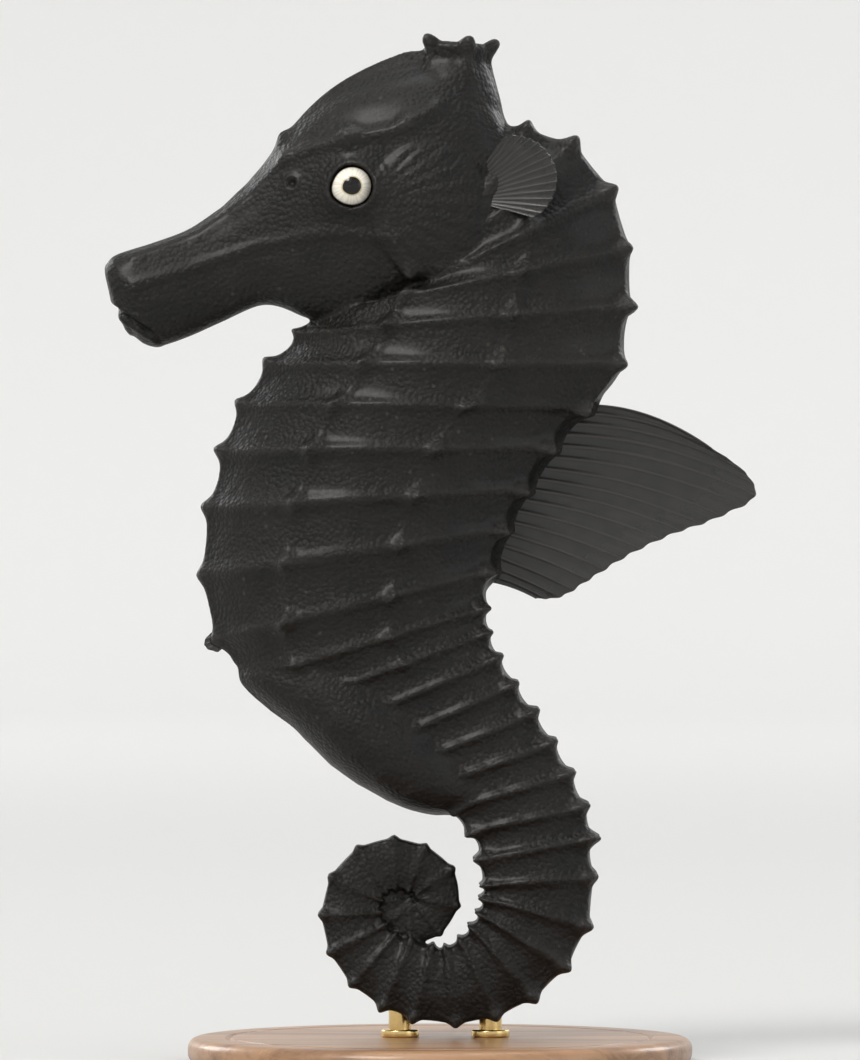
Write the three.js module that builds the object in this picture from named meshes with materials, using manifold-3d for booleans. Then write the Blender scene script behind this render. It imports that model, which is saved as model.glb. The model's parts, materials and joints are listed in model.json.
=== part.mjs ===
// A seahorse on a small display stand: an adult male of a deep-bodied species, in its swimming pose.
// Millimetres. +Z is up, the snout points along -X, and Y runs across the body, which is alike on both sides.
// The origin is the middle of the stand's underside.
import * as THREE from "three";
import { mergeVertices } from "three/addons/utils/BufferGeometryUtils.js";
import Module from "manifold-3d";

const wasm = await Module();
wasm.setup();

// ---------------------------------------------------------------- driving sizes
const GAP = 0.3; // clearance between neighbouring solids

// The body from the neck to where the tail starts to coil. Each row is a line across the body, seen from the
// side: the back's x and z, the belly's x and z, and half the body's width there.
const BODY_LINES = [
  [4.4, 108.4, -1.2, 92.6, 4.6],
  [10.1, 107.2, -1.7, 88.0, 5.9],
  [15.6, 105.1, -4.1, 87.5, 6.8],
  [20.0, 99.2, -7.6, 86.6, 7.7],
  [21.8, 92.1, -12.9, 85.2, 8.4],
  [21.5, 85.1, -16.8, 82.8, 8.9],
  [20.1, 78.3, -20.8, 78.4, 9.1],
  [14.8, 73.7, -23.7, 73.3, 9.1],
  [11.2, 68.4, -25.5, 67.0, 8.9],
  [8.3, 63.5, -26.9, 59.3, 8.5],
  [6.3, 58.4, -26.1, 50.9, 7.9],
  [5.4, 53.0, -22.3, 45.0, 7.2],
  [6.1, 48.2, -13.8, 40.4, 6.6],
  [8.7, 43.5, -8.1, 36.2, 6.2],
  [12.0, 38.4, -3.3, 32.7, 6.0],
  [15.0, 33.1, 0.8, 29.2, 5.8],
  [17.0, 27.7, 4.1, 25.4, 5.6],
];
const FIRST_LINE = -1; // body coordinate of the first row; the next rows are 0, 1, 2 ...

// The coil, a flat spiral about one point. Each row is a quarter turn on from the last, starting where the
// tail faces the back: the distance of its outer side from that point, and its depth.
const COIL_CENTRE = [-3.7, 19.3];
const COIL_TURNS = [
  [21.1, 12.5],
  [13.6, 7.3],
  [9.4, 5.3],
  [6.2, 4.2],
  [5.9, 3.7],
  [5.4, 3.1],
  [3.35, 2.5],
  [1.0, 1.55],
  [1.5, 1.3],
  [1.75, 0.85],
  [1.4, 0.5],
];
const COIL_WIDTH = 0.46; // half the tail's width as a share of its depth
const COIL_START_DEG = -12.8; // where the body lines above hand over to the coil
const COIL_END_DEG = 828;
const COIL_STEP_DEG = 15;

// Bony rings
const TRUNK_RINGS = 11;
const TRUNK_PITCH = 0.93; // body lines per trunk ring
const TAIL_RINGS = 34;
const TAIL_TAPER = 1.4; // how fast the tail's rings shorten towards the tip
const RING_RELIEF = 0.42; // crest over groove
const RIDGE_RELIEF = 0.3; // ridge over the flats between ridges
// Corners of a ring from the middle of the back to the middle of the belly, as shares of half depth and half
// width, and the height of the knob on each.
const TRUNK_CORNERS = [
  [0.99, 0, 0],
  [0.95, 0.44, 0.9],
  [0.3, 0.97, 0.9],
  [-0.45, 0.84, 0.7],
  [-1, 0, 0.4],
];
const TAIL_CORNERS = [
  [0.97, 0, 0],
  [0.91, 0.74, 0.65],
  [0, 0.95, 0],
  [-0.88, 0.7, 0.45],
  [-0.96, 0, 0],
];
const SIDE_BULGE = 0.09; // how far each flat of a ring swells out, as a share of its length

// Head, in its own frame: along from the tip of the snout, up square to that
const SNOUT_TIP = [-37.5, 87.2];
const HEAD_TILT_DEG = 20; // the snout points down by this much
// Rows: distance from the tip, height over and under the axis, half width
const HEAD_LINES = [
  [0.2, 3.4, 3.6, 2.0],
  [0.9, 4.6, 4.4, 3.0],
  [2.8, 5.3, 6.1, 3.7],
  [6.5, 5.1, 6.4, 3.6],
  [11.0, 5.1, 6.1, 3.4],
  [15.5, 6.1, 6.1, 3.6],
  [20.0, 8.1, 7.7, 4.2],
  [24.0, 10.4, 9.6, 5.0],
  [28.5, 12.7, 11.2, 5.9],
  [33.0, 13.9, 12.2, 6.7],
  [38.0, 14.0, 12.5, 7.1],
  [42.5, 13.5, 11.4, 6.8],
  [46.0, 12.0, 8.8, 5.8],
  [48.4, 9.0, 5.8, 4.2],
  [49.6, 5.2, 3.0, 2.2],
];
// The ridge along the middle of the forehead and crown: distance from the tip, height
const CREST_LINES = [
  [0, 0],
  [15, 0.2],
  [25, 0.5],
  [33, 1.2],
  [40, 2.0],
  [44, 2.2],
  [47.5, 1.0],
  [49.6, 0],
];
const SNOUT_END = 21.4; // where the snout's node meets the head's
const MOUTH_LENGTH = 4.2; // of the lower jaw, along the underside
const MOUTH_DEG = 54; // the slit between the jaws falls back from the tip at this slope
const EYE_ALONG = 30.4;
const EYE_UP = 3.2;
const EYE_RADIUS = 2.6;
const EYE_OUT = 5.0; // of the eye's middle from the head's middle plane
const EYE_RIM = [2.8, 0.85, 1.3]; // the rim's radius, its thickness and how far past the eye's middle it lies

// Fins
const DORSAL_RAYS = 18;
const PECTORAL_RAYS = 15;
const MEMBRANE = 0.5; // thickness between rays
const RAY = 0.95; // thickness at a ray
const SMALL_FIN = [0.5, 0.75]; // the same two on the small fins
const WEB_NOTCH = 0.03; // how much shorter than its rays the membrane is, as a share of their length

// Stand
const BASE_RADIUS = 29;
const BASE_HEIGHT = 3.0;
const ROD_RADIUS = 1.3;
const ROD_PLACES = { front: -4.6, back: 5.8 }; // along X

// ---------------------------------------------------------------- small helpers
const rad = THREE.MathUtils.degToRad;
const lerp = THREE.MathUtils.lerp;
const smooth = THREE.MathUtils.smoothstep;

// Catmull-Rom through rows of equal length, at row number k, which may be a fraction.
function alongRows(rows, k) {
  const i = Math.min(Math.max(Math.floor(k), 0), rows.length - 2);
  const f = k - i;
  const row = (n) => rows[Math.min(Math.max(n, 0), rows.length - 1)];
  const [a, b, c, d] = [row(i - 1), row(i), row(i + 1), row(i + 2)];
  return b.map(
    (v, n) =>
      v +
      0.5 * f * (c[n] - a[n] + f * (2 * a[n] - 5 * v + 4 * c[n] - d[n] + f * (3 * (v - c[n]) + d[n] - a[n]))),
  );
}

// A closed surface from rows of points that each go once round, with a fan over each end.
function closedLoft(rows) {
  const count = rows[0].length;
  const middle = (row) => row.reduce((sum, p) => sum.add(p), new THREE.Vector3()).divideScalar(count);
  const points = [...rows.flat(), middle(rows[0]), middle(rows[rows.length - 1])];
  const index = [];
  for (let r = 0; r + 1 < rows.length; r++) {
    for (let c = 0; c < count; c++) {
      const [a, b] = [r * count + c, r * count + ((c + 1) % count)];
      index.push(a, b, a + count, b, b + count, a + count);
    }
  }
  const last = (rows.length - 1) * count;
  for (let c = 0; c < count; c++) {
    const n = (c + 1) % count;
    index.push(n, c, points.length - 2, last + c, last + n, points.length - 1);
  }
  return new THREE.BufferGeometry().setFromPoints(points).setIndex(index);
}

// A closed three.js geometry as a manifold-3d solid, facing out.
function solid(geometry, matrix) {
  const bare = new THREE.BufferGeometry().setAttribute("position", geometry.getAttribute("position").clone());
  if (geometry.index) bare.setIndex(geometry.index.clone());
  if (matrix) bare.applyMatrix4(matrix);
  const merged = mergeVertices(bare, 1e-4);
  const faces = new Uint32Array(merged.index.array);
  const made = () =>
    new wasm.Manifold(
      new wasm.Mesh({ numProp: 3, vertProperties: merged.attributes.position.array, triVerts: faces }),
    );
  let body = made();
  if (body.volume() < 0) {
    for (let i = 0; i < faces.length; i += 3) [faces[i + 1], faces[i + 2]] = [faces[i + 2], faces[i + 1]];
    body = made();
  }
  return body;
}

const joined = (bodies) => bodies.reduce((all, body) => all.add(body));

// The largest closed piece of a solid, as a geometry.
function geometryOf(body) {
  const pieces = body.decompose().sort((a, b) => b.volume() - a.volume());
  const mesh = pieces[0].getMesh();
  const positions = new Float32Array(mesh.numVert * 3);
  for (let i = 0; i < mesh.numVert; i++) {
    positions.set(mesh.vertProperties.subarray(i * mesh.numProp, i * mesh.numProp + 3), i * 3);
  }
  return new THREE.BufferGeometry()
    .setAttribute("position", new THREE.BufferAttribute(positions, 3))
    .setIndex(new THREE.BufferAttribute(mesh.triVerts, 1));
}

// ---------------------------------------------------------------- the body's line
function coilMiddle(degrees) {
  const [outer, depth] = alongRows(COIL_TURNS, degrees / 90);
  const out = new THREE.Vector2(Math.cos(rad(degrees)), -Math.sin(rad(degrees)));
  return new THREE.Vector2(...COIL_CENTRE).addScaledVector(out, outer - depth / 2);
}

function coilLine(degrees) {
  const [, depth] = alongRows(COIL_TURNS, degrees / 90);
  const middle = coilMiddle(degrees);
  const on = coilMiddle(degrees + 1).sub(coilMiddle(degrees - 1)).normalize();
  const out = new THREE.Vector2(-on.y, on.x);
  const back = middle.clone().addScaledVector(out, depth / 2);
  const belly = middle.clone().addScaledVector(out, -depth / 2);
  return [back.x, back.y, belly.x, belly.y, COIL_WIDTH * depth];
}

const bodyRows = [...BODY_LINES];
for (let d = COIL_START_DEG; d <= COIL_END_DEG; d += COIL_STEP_DEG) bodyRows.push(coilLine(d));
const BODY_END = FIRST_LINE + bodyRows.length - 1;

// The line across the body at body coordinate t.
function bodyLine(t) {
  const [backX, backZ, bellyX, bellyZ, halfWidth] = alongRows(bodyRows, t - FIRST_LINE);
  const back = new THREE.Vector3(backX, 0, backZ);
  const belly = new THREE.Vector3(bellyX, 0, bellyZ);
  const middle = back.clone().lerp(belly, 0.5);
  const halfDepth = back.distanceTo(belly) / 2;
  const up = back.clone().sub(middle).normalize();
  return { back, belly, middle, up, halfDepth, halfWidth };
}

// Length of the middle line from the end of the trunk, and back from a length to a body coordinate.
const TAIL_START = (TRUNK_RINGS - 0.5) * TRUNK_PITCH;
const TAIL_STEP = 0.05;
const tailLengths = [0];
for (let t = TAIL_START + TAIL_STEP; t <= BODY_END; t += TAIL_STEP) {
  const step = bodyLine(t).middle.distanceTo(bodyLine(t - TAIL_STEP).middle);
  tailLengths.push(tailLengths[tailLengths.length - 1] + step);
}
const TAIL_LENGTH = tailLengths[tailLengths.length - 1];
function tailAt(length) {
  const i = tailLengths.findIndex((l) => l >= length);
  if (i < 1) return length <= 0 ? TAIL_START : BODY_END;
  const f = (length - tailLengths[i - 1]) / (tailLengths[i] - tailLengths[i - 1]);
  return TAIL_START + (i - 1 + f) * TAIL_STEP;
}

// Body coordinate of ring number n: whole numbers are crests, halves are grooves.
function ringAt(n) {
  if (n <= TRUNK_RINGS - 0.5) return n * TRUNK_PITCH;
  const share = (n - TRUNK_RINGS + 0.5) / TAIL_RINGS;
  return tailAt(TAIL_LENGTH * (1 - (1 - Math.min(share, 1)) ** TAIL_TAPER));
}

// ---------------------------------------------------------------- rings
// Points round the body at ring number n. Relief is given on the crest, knob is 1 where the knobs stand, and
// grow swells the whole section for cutting.
function ringPoints(n, { sides, relief = 0, knob = 0, grow = 0 }) {
  const t = ringAt(n);
  const line = bodyLine(t);
  const tail = smooth(t, 8.6, 12);
  const size = Math.min(1, line.halfDepth / 6);
  const corners = TRUNK_CORNERS.map((c, i) => c.map((v, k) => lerp(v, TAIL_CORNERS[i][k], tail)));
  const half = [];
  corners.slice(1).forEach((to, i) => {
    const from = corners[i];
    const steps = sides[i];
    const [a, b] = [from, to].map(([p, q]) => new THREE.Vector2(p * line.halfDepth, q * line.halfWidth));
    const outward = new THREE.Vector2(a.y - b.y, b.x - a.x).normalize();
    if (outward.dot(a.clone().add(b)) < 0) outward.negate();
    const length = a.distanceTo(b);
    for (let k = i ? 1 : 0; k <= steps; k++) {
      const f = k / steps;
      const spot = a.clone().lerp(b, f).addScaledVector(outward, 4 * f * (1 - f) * SIDE_BULGE * length);
      const ridge = k === 0 ? from[2] : k === steps ? to[2] : 0;
      const rise = grow + size * (relief + (ridge ? RIDGE_RELIEF : 0) + knob * ridge);
      half.push(spot.add(spot.clone().normalize().multiplyScalar(rise)));
    }
  });
  const other = half
    .slice(1, -1)
    .reverse()
    .map((p) => new THREE.Vector2(p.x, -p.y));
  return [...half, ...other].map((p) =>
    line.middle.clone().addScaledVector(line.up, p.x).add(new THREE.Vector3(0, p.y, 0)),
  );
}

// Offsets within one ring, with how much of the relief and of the knob each has.
const RING_PROFILE = [
  [-0.25, 0.75, 0],
  [0, 1, 1],
  [0.25, 0.75, 0],
  [0.5, 0, 0],
];
const PLAIN_RINGS_FROM = 30; // the small rings past this one have only a crest and a groove
const PLAIN_RING_PROFILE = RING_PROFILE.filter(([offset]) => offset === 0 || offset === 0.5);
const TRUNK_SIDES = [2, 4, 4, 4];
const TAIL_SIDES = [1, 2, 2, 2];

function ringedLength(from, to, sides) {
  const numbers = [[from, 0, 0]];
  for (let n = Math.ceil(from); n <= to; n++) {
    const profile = n > PLAIN_RINGS_FROM ? PLAIN_RING_PROFILE : RING_PROFILE;
    for (const [offset, relief, knob] of profile) {
      if (n + offset > from + 0.1 && n + offset < to - 0.1) numbers.push([n + offset, relief, knob]);
    }
  }
  numbers.push([to, 0, 0]);
  const points = ([n, relief, knob]) => ringPoints(n, { sides, relief: relief * RING_RELIEF, knob });
  return solid(closedLoft(numbers.map(points)));
}

// The same length with no relief, swollen by the gap and a little longer, to cut its neighbours with.
function cutter(from, to, sides, grow = GAP) {
  const rows = [];
  const steps = Math.ceil((to - from) * 2);
  for (let k = 0; k <= steps; k++) {
    rows.push(ringPoints(lerp(from, to, k / steps), { sides, relief: RING_RELIEF, knob: 1, grow }));
  }
  return solid(closedLoft(rows));
}

// The gap between two solids, in ring numbers, at ring number n.
function ringGap(n) {
  const step = 0.01;
  return (GAP * step) / bodyLine(ringAt(n)).middle.distanceTo(bodyLine(ringAt(n + step)).middle);
}

// ---------------------------------------------------------------- head
const headFrame = new THREE.Matrix4()
  .makeRotationY(-rad(HEAD_TILT_DEG))
  .setPosition(SNOUT_TIP[0], 0, SNOUT_TIP[1]);
const inHead = (along, across, up) => new THREE.Vector3(along, across, up).applyMatrix4(headFrame);

const HEAD_POINTS = 24;
const SNOUT_POINTS = 18;
const HEAD_SQUARENESS = 2.25;
// The row at a distance from the tip, between rows that each start with theirs.
function headLine(along, lines = HEAD_LINES) {
  const last = lines.length - 1;
  const i = lines.findIndex((row) => row[0] > along);
  const k = i < 0 ? last - 1 : Math.max(i - 1, 0);
  const f = (along - lines[k][0]) / (lines[k + 1][0] - lines[k][0]);
  return alongRows(lines, k + Math.min(Math.max(f, 0), 1));
}

function headPoints(along, grow, count) {
  const [, over, under, halfWidth] = headLine(along);
  const [, crest] = headLine(along, CREST_LINES);
  const points = [];
  for (let k = 0; k < count; k++) {
    const a = (2 * Math.PI * k) / count;
    const [c, s] = [Math.cos(a), Math.sin(a)];
    const bow = (v) => Math.sign(v) * Math.abs(v) ** (2 / HEAD_SQUARENESS);
    const up = bow(c) * ((c > 0 ? over : under) + grow) + (k === 0 ? crest : 0);
    points.push(inHead(along, bow(s) * (halfWidth + grow), up));
  }
  return points;
}

function headLoft(from, to, step, grow = 0, points = HEAD_POINTS) {
  const count = Math.ceil((to - from) / step);
  const rows = [];
  for (let k = 0; k <= count; k++) rows.push(headPoints(lerp(from, to, k / count), grow, points));
  return solid(closedLoft(rows));
}

const HEAD_END = HEAD_LINES[HEAD_LINES.length - 1][0];

// A blunt spine that stands at a place in the head's frame and leans along a direction there.
function headSpine(place, direction, radius, height) {
  const shape = new THREE.CylinderGeometry(radius * 0.35, radius, height, 6, 1);
  const turn = new THREE.Quaternion().setFromUnitVectors(
    new THREE.Vector3(0, 1, 0),
    new THREE.Vector3(...direction).normalize(),
  );
  const at = new THREE.Matrix4().compose(new THREE.Vector3(...place), turn, new THREE.Vector3(1, 1, 1));
  return solid(shape, headFrame.clone().multiply(at));
}

const placed = (x, y, z) => headFrame.clone().multiply(new THREE.Matrix4().makeTranslation(x, y, z));

// The skull and its gill covers, swollen by grow.
function skull(from, grow = 0) {
  const covers = [-1, 1].map((side) => {
    const cover = new THREE.SphereGeometry(1, 16, 10).scale(7.4 + grow, 2.3 + grow, 8.2 + grow);
    return solid(cover, placed(38.1, side * 5.6, -2.6));
  });
  return joined([headLoft(from, HEAD_END, 2.8, grow), ...covers]);
}

function head() {
  const [rimRadius, rimTube, rimOut] = EYE_RIM;
  let body = skull(SNOUT_END + GAP).add(headSpine([25.3, 0, 9.7], [-0.35, 0, 1], 1.6, 3.4));
  for (const side of [-1, 1]) {
    const rim = new THREE.TorusGeometry(rimRadius, rimTube, 6, 18).rotateX(Math.PI / 2);
    const socket = new THREE.SphereGeometry(EYE_RADIUS + GAP, 16, 10);
    const nostril = new THREE.SphereGeometry(0.45, 6, 4);
    body = joined([
      body,
      solid(rim, placed(EYE_ALONG, side * (EYE_OUT + rimOut), EYE_UP)),
      headSpine([EYE_ALONG + 1.4, side * 4.0, EYE_UP + 4.6], [0.15, side * 0.75, 1], 1.7, 4.2),
      headSpine([33.2, side * 5.4, -7.4], [-0.15, side * 1, -0.75], 1.7, 4.4),
    ]);
    body = body.subtract(solid(socket, placed(EYE_ALONG, side * EYE_OUT, EYE_UP)));
    body = body.subtract(solid(nostril, placed(24.5, side * 4.4, 5.9)));
  }
  return body;
}

// The snout is one tube, and a slanted slit at its tip frees the lower jaw.
function snoutAndJaw() {
  const tube = headLoft(HEAD_LINES[0][0], SNOUT_END, 1.9, 0, SNOUT_POINTS);
  const depth = 12; // more than the jaw's
  const slab = (drop) => {
    const box = new THREE.BoxGeometry(3 * depth, depth, depth);
    const at = placed(MOUTH_LENGTH, 0, -headLine(MOUTH_LENGTH)[2])
      .multiply(new THREE.Matrix4().makeRotationY(rad(MOUTH_DEG)))
      .multiply(new THREE.Matrix4().makeTranslation(0, 0, -depth / 2 - drop));
    return solid(box, at);
  };
  return { snout: tube.subtract(slab(0)), jaw: tube.intersect(slab(GAP)) };
}

function eye(side) {
  return solid(new THREE.SphereGeometry(EYE_RADIUS, 16, 10), placed(EYE_ALONG, side * EYE_OUT, EYE_UP));
}

// ---------------------------------------------------------------- coronet
// A low crown that leans back, with blunt points round a shallow cup.
const CORONET_FOOT = [44.6, 8.4]; // in the head's frame
const CORONET_LEAN_DEG = 24;
const CORONET_POINTS = 5;
// Rows: height, radius along the head, radius across, how far the points stand out, how far they rise
const CORONET_ROWS = [
  [0, 5.4, 3.9, 0, 0],
  [2.6, 4.3, 3.1, 0.05, 0],
  [4.6, 3.6, 2.7, 0.14, 0.1],
  [6.6, 4.1, 3.3, 0.28, 0.8],
  [7.2, 3.3, 2.6, 0.28, 0.7],
  [5.7, 1.5, 1.2, 0.1, 0],
];
function coronet() {
  const count = CORONET_POINTS * 5;
  const lean = new THREE.Matrix4().makeRotationY(rad(CORONET_LEAN_DEG));
  const frame = placed(CORONET_FOOT[0], 0, CORONET_FOOT[1]).multiply(lean);
  const rows = CORONET_ROWS.map(([height, along, across, spread, rise]) => {
    const row = [];
    for (let k = 0; k < count; k++) {
      const a = (2 * Math.PI * k) / count;
      const point = Math.max(0, Math.cos(CORONET_POINTS * a)) - 0.35;
      const r = 1 + spread * point;
      const [x, y] = [along * r * Math.cos(a), across * r * Math.sin(a)];
      row.push(new THREE.Vector3(x, y, height + rise * point).applyMatrix4(frame));
    }
    return row;
  });
  return solid(closedLoft(rows)).subtract(headLoft(32, HEAD_END, 2.8, GAP));
}

// ---------------------------------------------------------------- brood pouch
const POUCH_FROM = 9.6; // body coordinates
const POUCH_TO = 14.35;
const POUCH_STEPS = 14;
const POUCH_POINTS = 22; // round each section
// Along the pouch: how far it reaches past the tail's own belly, and its half width
const POUCH_LINES = [
  [0.2, 2.4],
  [1.9, 5.6],
  [3.4, 7.0],
  [4.3, 7.6],
  [4.8, 7.7],
  [4.9, 7.5],
  [4.5, 7.1],
  [3.4, 6.0],
  [0.2, 2.4],
];
function pouch() {
  const rows = [];
  for (let k = 0; k <= POUCH_STEPS; k++) {
    const f = k / POUCH_STEPS;
    const line = bodyLine(lerp(POUCH_FROM, POUCH_TO, f));
    const [reach, wide] = alongRows(POUCH_LINES, f * (POUCH_LINES.length - 1));
    const inner = line.halfDepth * 0.9;
    const row = [];
    for (let c = 0; c < POUCH_POINTS; c++) {
      const a = (2 * Math.PI * c) / POUCH_POINTS;
      const up = (inner - reach + (inner + reach) * Math.cos(a)) / 2;
      const across = new THREE.Vector3(0, wide * Math.sin(a), 0);
      row.push(line.belly.clone().addScaledVector(line.up, up).add(across));
    }
    rows.push(row);
  }
  return solid(closedLoft(rows));
}

// ---------------------------------------------------------------- fins
// A fan of rays. Each ray is a column of points from its root to its tip, bowed where bow is given, and
// between two rays lies a column of thin membrane, a little shorter. across is square to the fan.
function fan(rays, steps, { root, tip, bow, across, thickness = [MEMBRANE, RAY] }) {
  const rows = [];
  for (let k = 0; k <= 2 * (rays - 1); k++) {
    const f = k / (2 * (rays - 1));
    const onRay = k % 2 === 0;
    const [from, to] = [root(f), tip(f)];
    if (!onRay) to.lerp(from, WEB_NOTCH);
    const [left, right] = [[], []];
    for (let s = 0; s <= steps; s++) {
      const v = s / steps;
      const half = (onRay ? lerp(thickness[1], thickness[0], v ** 2) : thickness[0]) / 2;
      const middle = from.clone().lerp(to, v);
      if (bow) middle.addScaledVector(bow(f), 4 * v * (1 - v));
      const side = across();
      left.push(middle.clone().addScaledVector(side, half));
      right.unshift(middle.clone().addScaledVector(side, -half));
    }
    rows.push([...left, ...right]);
  }
  return closedStrip(rows);
}

// Like closedLoft, but the end rows are long and thin, so each end is closed by a ladder and not a fan.
function closedStrip(rows) {
  const count = rows[0].length;
  const index = [];
  for (let r = 0; r + 1 < rows.length; r++) {
    for (let c = 0; c < count; c++) {
      const [a, b] = [r * count + c, r * count + ((c + 1) % count)];
      if (c < count / 2) index.push(a, b, a + count, b, b + count, a + count);
      else index.push(a, b, b + count, a, b + count, a + count);
    }
  }
  for (const [start, flip] of [
    [0, true],
    [(rows.length - 1) * count, false],
  ]) {
    for (let c = 0; c + 1 < count / 2; c++) {
      const [a, b, d, e] = [start + c, start + c + 1, start + count - 2 - c, start + count - 1 - c];
      index.push(...(flip ? [b, a, e, b, e, d] : [a, b, e, b, d, e]));
    }
  }
  return solid(new THREE.BufferGeometry().setFromPoints(rows.flat()).setIndex(index));
}

const sideways = () => new THREE.Vector3(0, 1, 0);

const DORSAL_FROM = 5.6; // body coordinates of the fin's first and last ray
const DORSAL_TO = 9.4;
// From the first ray to the last: the tip's x and z, and how far the ray bows up
const DORSAL_TIPS = [
  [31.2, 70.7, 1.9],
  [35.2, 67.9, 1.8],
  [36.2, 65.0, 1.6],
  [31.6, 62.5, 1.2],
  [26.6, 60.7, 0.9],
  [21.8, 58.4, 0.6],
  [17.6, 55.8, 0.4],
  [14.0, 53.6, 0.3],
  [11.0, 53.4, 0.6],
];
const DORSAL_WAVE = 0.9; // how far the margin sways to each side
function dorsalFin() {
  const at = (f) => bodyLine(lerp(DORSAL_FROM, DORSAL_TO, f));
  const row = (f) => alongRows(DORSAL_TIPS, f * (DORSAL_TIPS.length - 1));
  const root = (f) => at(f).back.addScaledVector(at(f).up, -3);
  const tip = (f) => {
    const [x, z] = row(f);
    return new THREE.Vector3(x, DORSAL_WAVE * Math.sin(f * 2.5 * Math.PI), z);
  };
  const bow = (f) => new THREE.Vector3(0, 0, row(f)[2]);
  return fan(DORSAL_RAYS, 4, { root, tip, bow, across: sideways });
}

const PECTORAL_ROOT = [45.4, 6.2, -2.4]; // along, out and up in the head's frame
const PECTORAL_BASE = 5.4; // height of the root
const PECTORAL_LENGTH = 8.4;
const PECTORAL_SPREAD_DEG = 88;
const PECTORAL_OUT_DEG = 27; // the fan stands out from the body by this much
function pectoralFin(side) {
  const [along, out, up] = PECTORAL_ROOT;
  const [c, s] = [Math.cos(rad(PECTORAL_OUT_DEG)), Math.sin(rad(PECTORAL_OUT_DEG))];
  const spot = (reach, rise) => inHead(along + reach * c, side * (out + reach * s), up + rise);
  const root = (f) => spot(0, (0.5 - f) * PECTORAL_BASE);
  const tip = (f) => {
    const turn = rad((0.5 - f) * PECTORAL_SPREAD_DEG);
    const reach = PECTORAL_LENGTH * (0.84 + 0.16 * Math.sin(Math.PI * f));
    return spot(reach * Math.cos(turn), (0.5 - f) * PECTORAL_BASE + reach * Math.sin(turn) * 0.6);
  };
  const across = () => inHead(-s, side * c, 0).sub(inHead(0, 0, 0)).normalize();
  return fan(PECTORAL_RAYS, 2, { root, tip, across, thickness: SMALL_FIN });
}

const ANAL_AT = 9.3; // body coordinate
const ANAL_LENGTH = 2.3; // past the belly
const ANAL_LEAN = 0.9; // how far the fin's tips lie below its root
function analFin() {
  const line = bodyLine(ANAL_AT);
  const away = line.up.clone().negate();
  const down = new THREE.Vector3(-away.z, 0, away.x);
  const spot = (reach, drop) => line.belly.clone().addScaledVector(away, reach).addScaledVector(down, drop);
  const root = (f) => spot(-2, (f - 0.5) * 1.6 - ANAL_LEAN);
  const tip = (f) => spot(ANAL_LENGTH * (0.8 + 0.2 * Math.sin(Math.PI * f)), (f - 0.5) * 2.8);
  return fan(4, 2, { root, tip, across: sideways, thickness: SMALL_FIN });
}

// ---------------------------------------------------------------- stand
function base() {
  const profile = [
    [0, 0],
    [BASE_RADIUS - 0.6, 0],
    [BASE_RADIUS, 0.6],
    [BASE_RADIUS, BASE_HEIGHT - 1.2],
    [BASE_RADIUS - 1.2, BASE_HEIGHT],
    [0, BASE_HEIGHT],
  ].map(([r, z]) => new THREE.Vector2(r, z));
  return solid(new THREE.LatheGeometry(profile, 48).rotateX(Math.PI / 2));
}

function rod(x) {
  const top = 10; // inside the coil, which it is cut clear of
  const bottom = BASE_HEIGHT + GAP;
  const shape = new THREE.CylinderGeometry(ROD_RADIUS, ROD_RADIUS, top - bottom, 20).rotateX(Math.PI / 2);
  return solid(shape, new THREE.Matrix4().makeTranslation(x, 0, (top + bottom) / 2));
}

// ---------------------------------------------------------------- nodes
// Ring numbers where the body is parted, each the start of its node
const CUTS = {
  neck: -0.85,
  trunk: 2.5,
  tail_base: 10.5,
  tail_bend: 16.5,
  tail_loop: 20.5,
  tail_hook: 25.5,
  tail_curl: 30.5,
  tail_tip: 36.5,
};
const CUT_END = TRUNK_RINGS + TAIL_RINGS - 0.55;

const materials = {
  skin: new THREE.MeshStandardMaterial({ color: 0x17140f, roughness: 0.55, metalness: 0 }),
  fin: new THREE.MeshStandardMaterial({ color: 0x241d15, roughness: 0.45, metalness: 0 }),
  eye: new THREE.MeshStandardMaterial({ color: 0xe8e4d6, roughness: 0.12, metalness: 0 }),
  wood: new THREE.MeshStandardMaterial({ color: 0x8a6a48, roughness: 0.5, metalness: 0 }),
  brass: new THREE.MeshStandardMaterial({ color: 0xb08d4f, roughness: 0.3, metalness: 1 }),
};

const model = new THREE.Group();
function node(name, body, material) {
  const mesh = new THREE.Mesh(geometryOf(body), materials[material]);
  mesh.name = name;
  model.add(mesh);
}

const headSwollen = skull(SNOUT_END, GAP);
const neckSwollen = cutter(CUTS.neck, CUTS.trunk + 1, TRUNK_SIDES);
const trunkSwollen = cutter(CUTS.trunk, 13, TRUNK_SIDES);
const tailSwollen = cutter(CUTS.tail_base, CUTS.tail_loop, TAIL_SIDES);
const coilSwollen = cutter(CUTS.tail_bend, CUTS.tail_curl, TAIL_SIDES);

const { snout, jaw } = snoutAndJaw();
node("snout", snout, "skin");
node("lower_jaw", jaw, "skin");
node("head", head(), "skin");
node("coronet", coronet(), "skin");

const lengths = Object.keys(CUTS);
lengths.forEach((name, i) => {
  const isTail = name.startsWith("tail");
  const from = CUTS[name] + (i ? ringGap(CUTS[name]) : 0);
  const to = i + 1 < lengths.length ? CUTS[lengths[i + 1]] : CUT_END;
  const length = ringedLength(from, to, isTail ? TAIL_SIDES : TRUNK_SIDES);
  node(name, isTail ? length : length.subtract(headSwollen), "skin");
});
node("brood_pouch", pouch().subtract(trunkSwollen).subtract(tailSwollen), "skin");
node("dorsal_fin", dorsalFin().subtract(trunkSwollen), "fin");
node("anal_fin", analFin().subtract(trunkSwollen), "fin");

for (const [name, side] of Object.entries({ left: 1, right: -1 })) {
  node(`eye_${name}`, eye(side), "eye");
  node(`pectoral_fin_${name}`, pectoralFin(side).subtract(headSwollen).subtract(neckSwollen), "fin");
}

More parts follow.
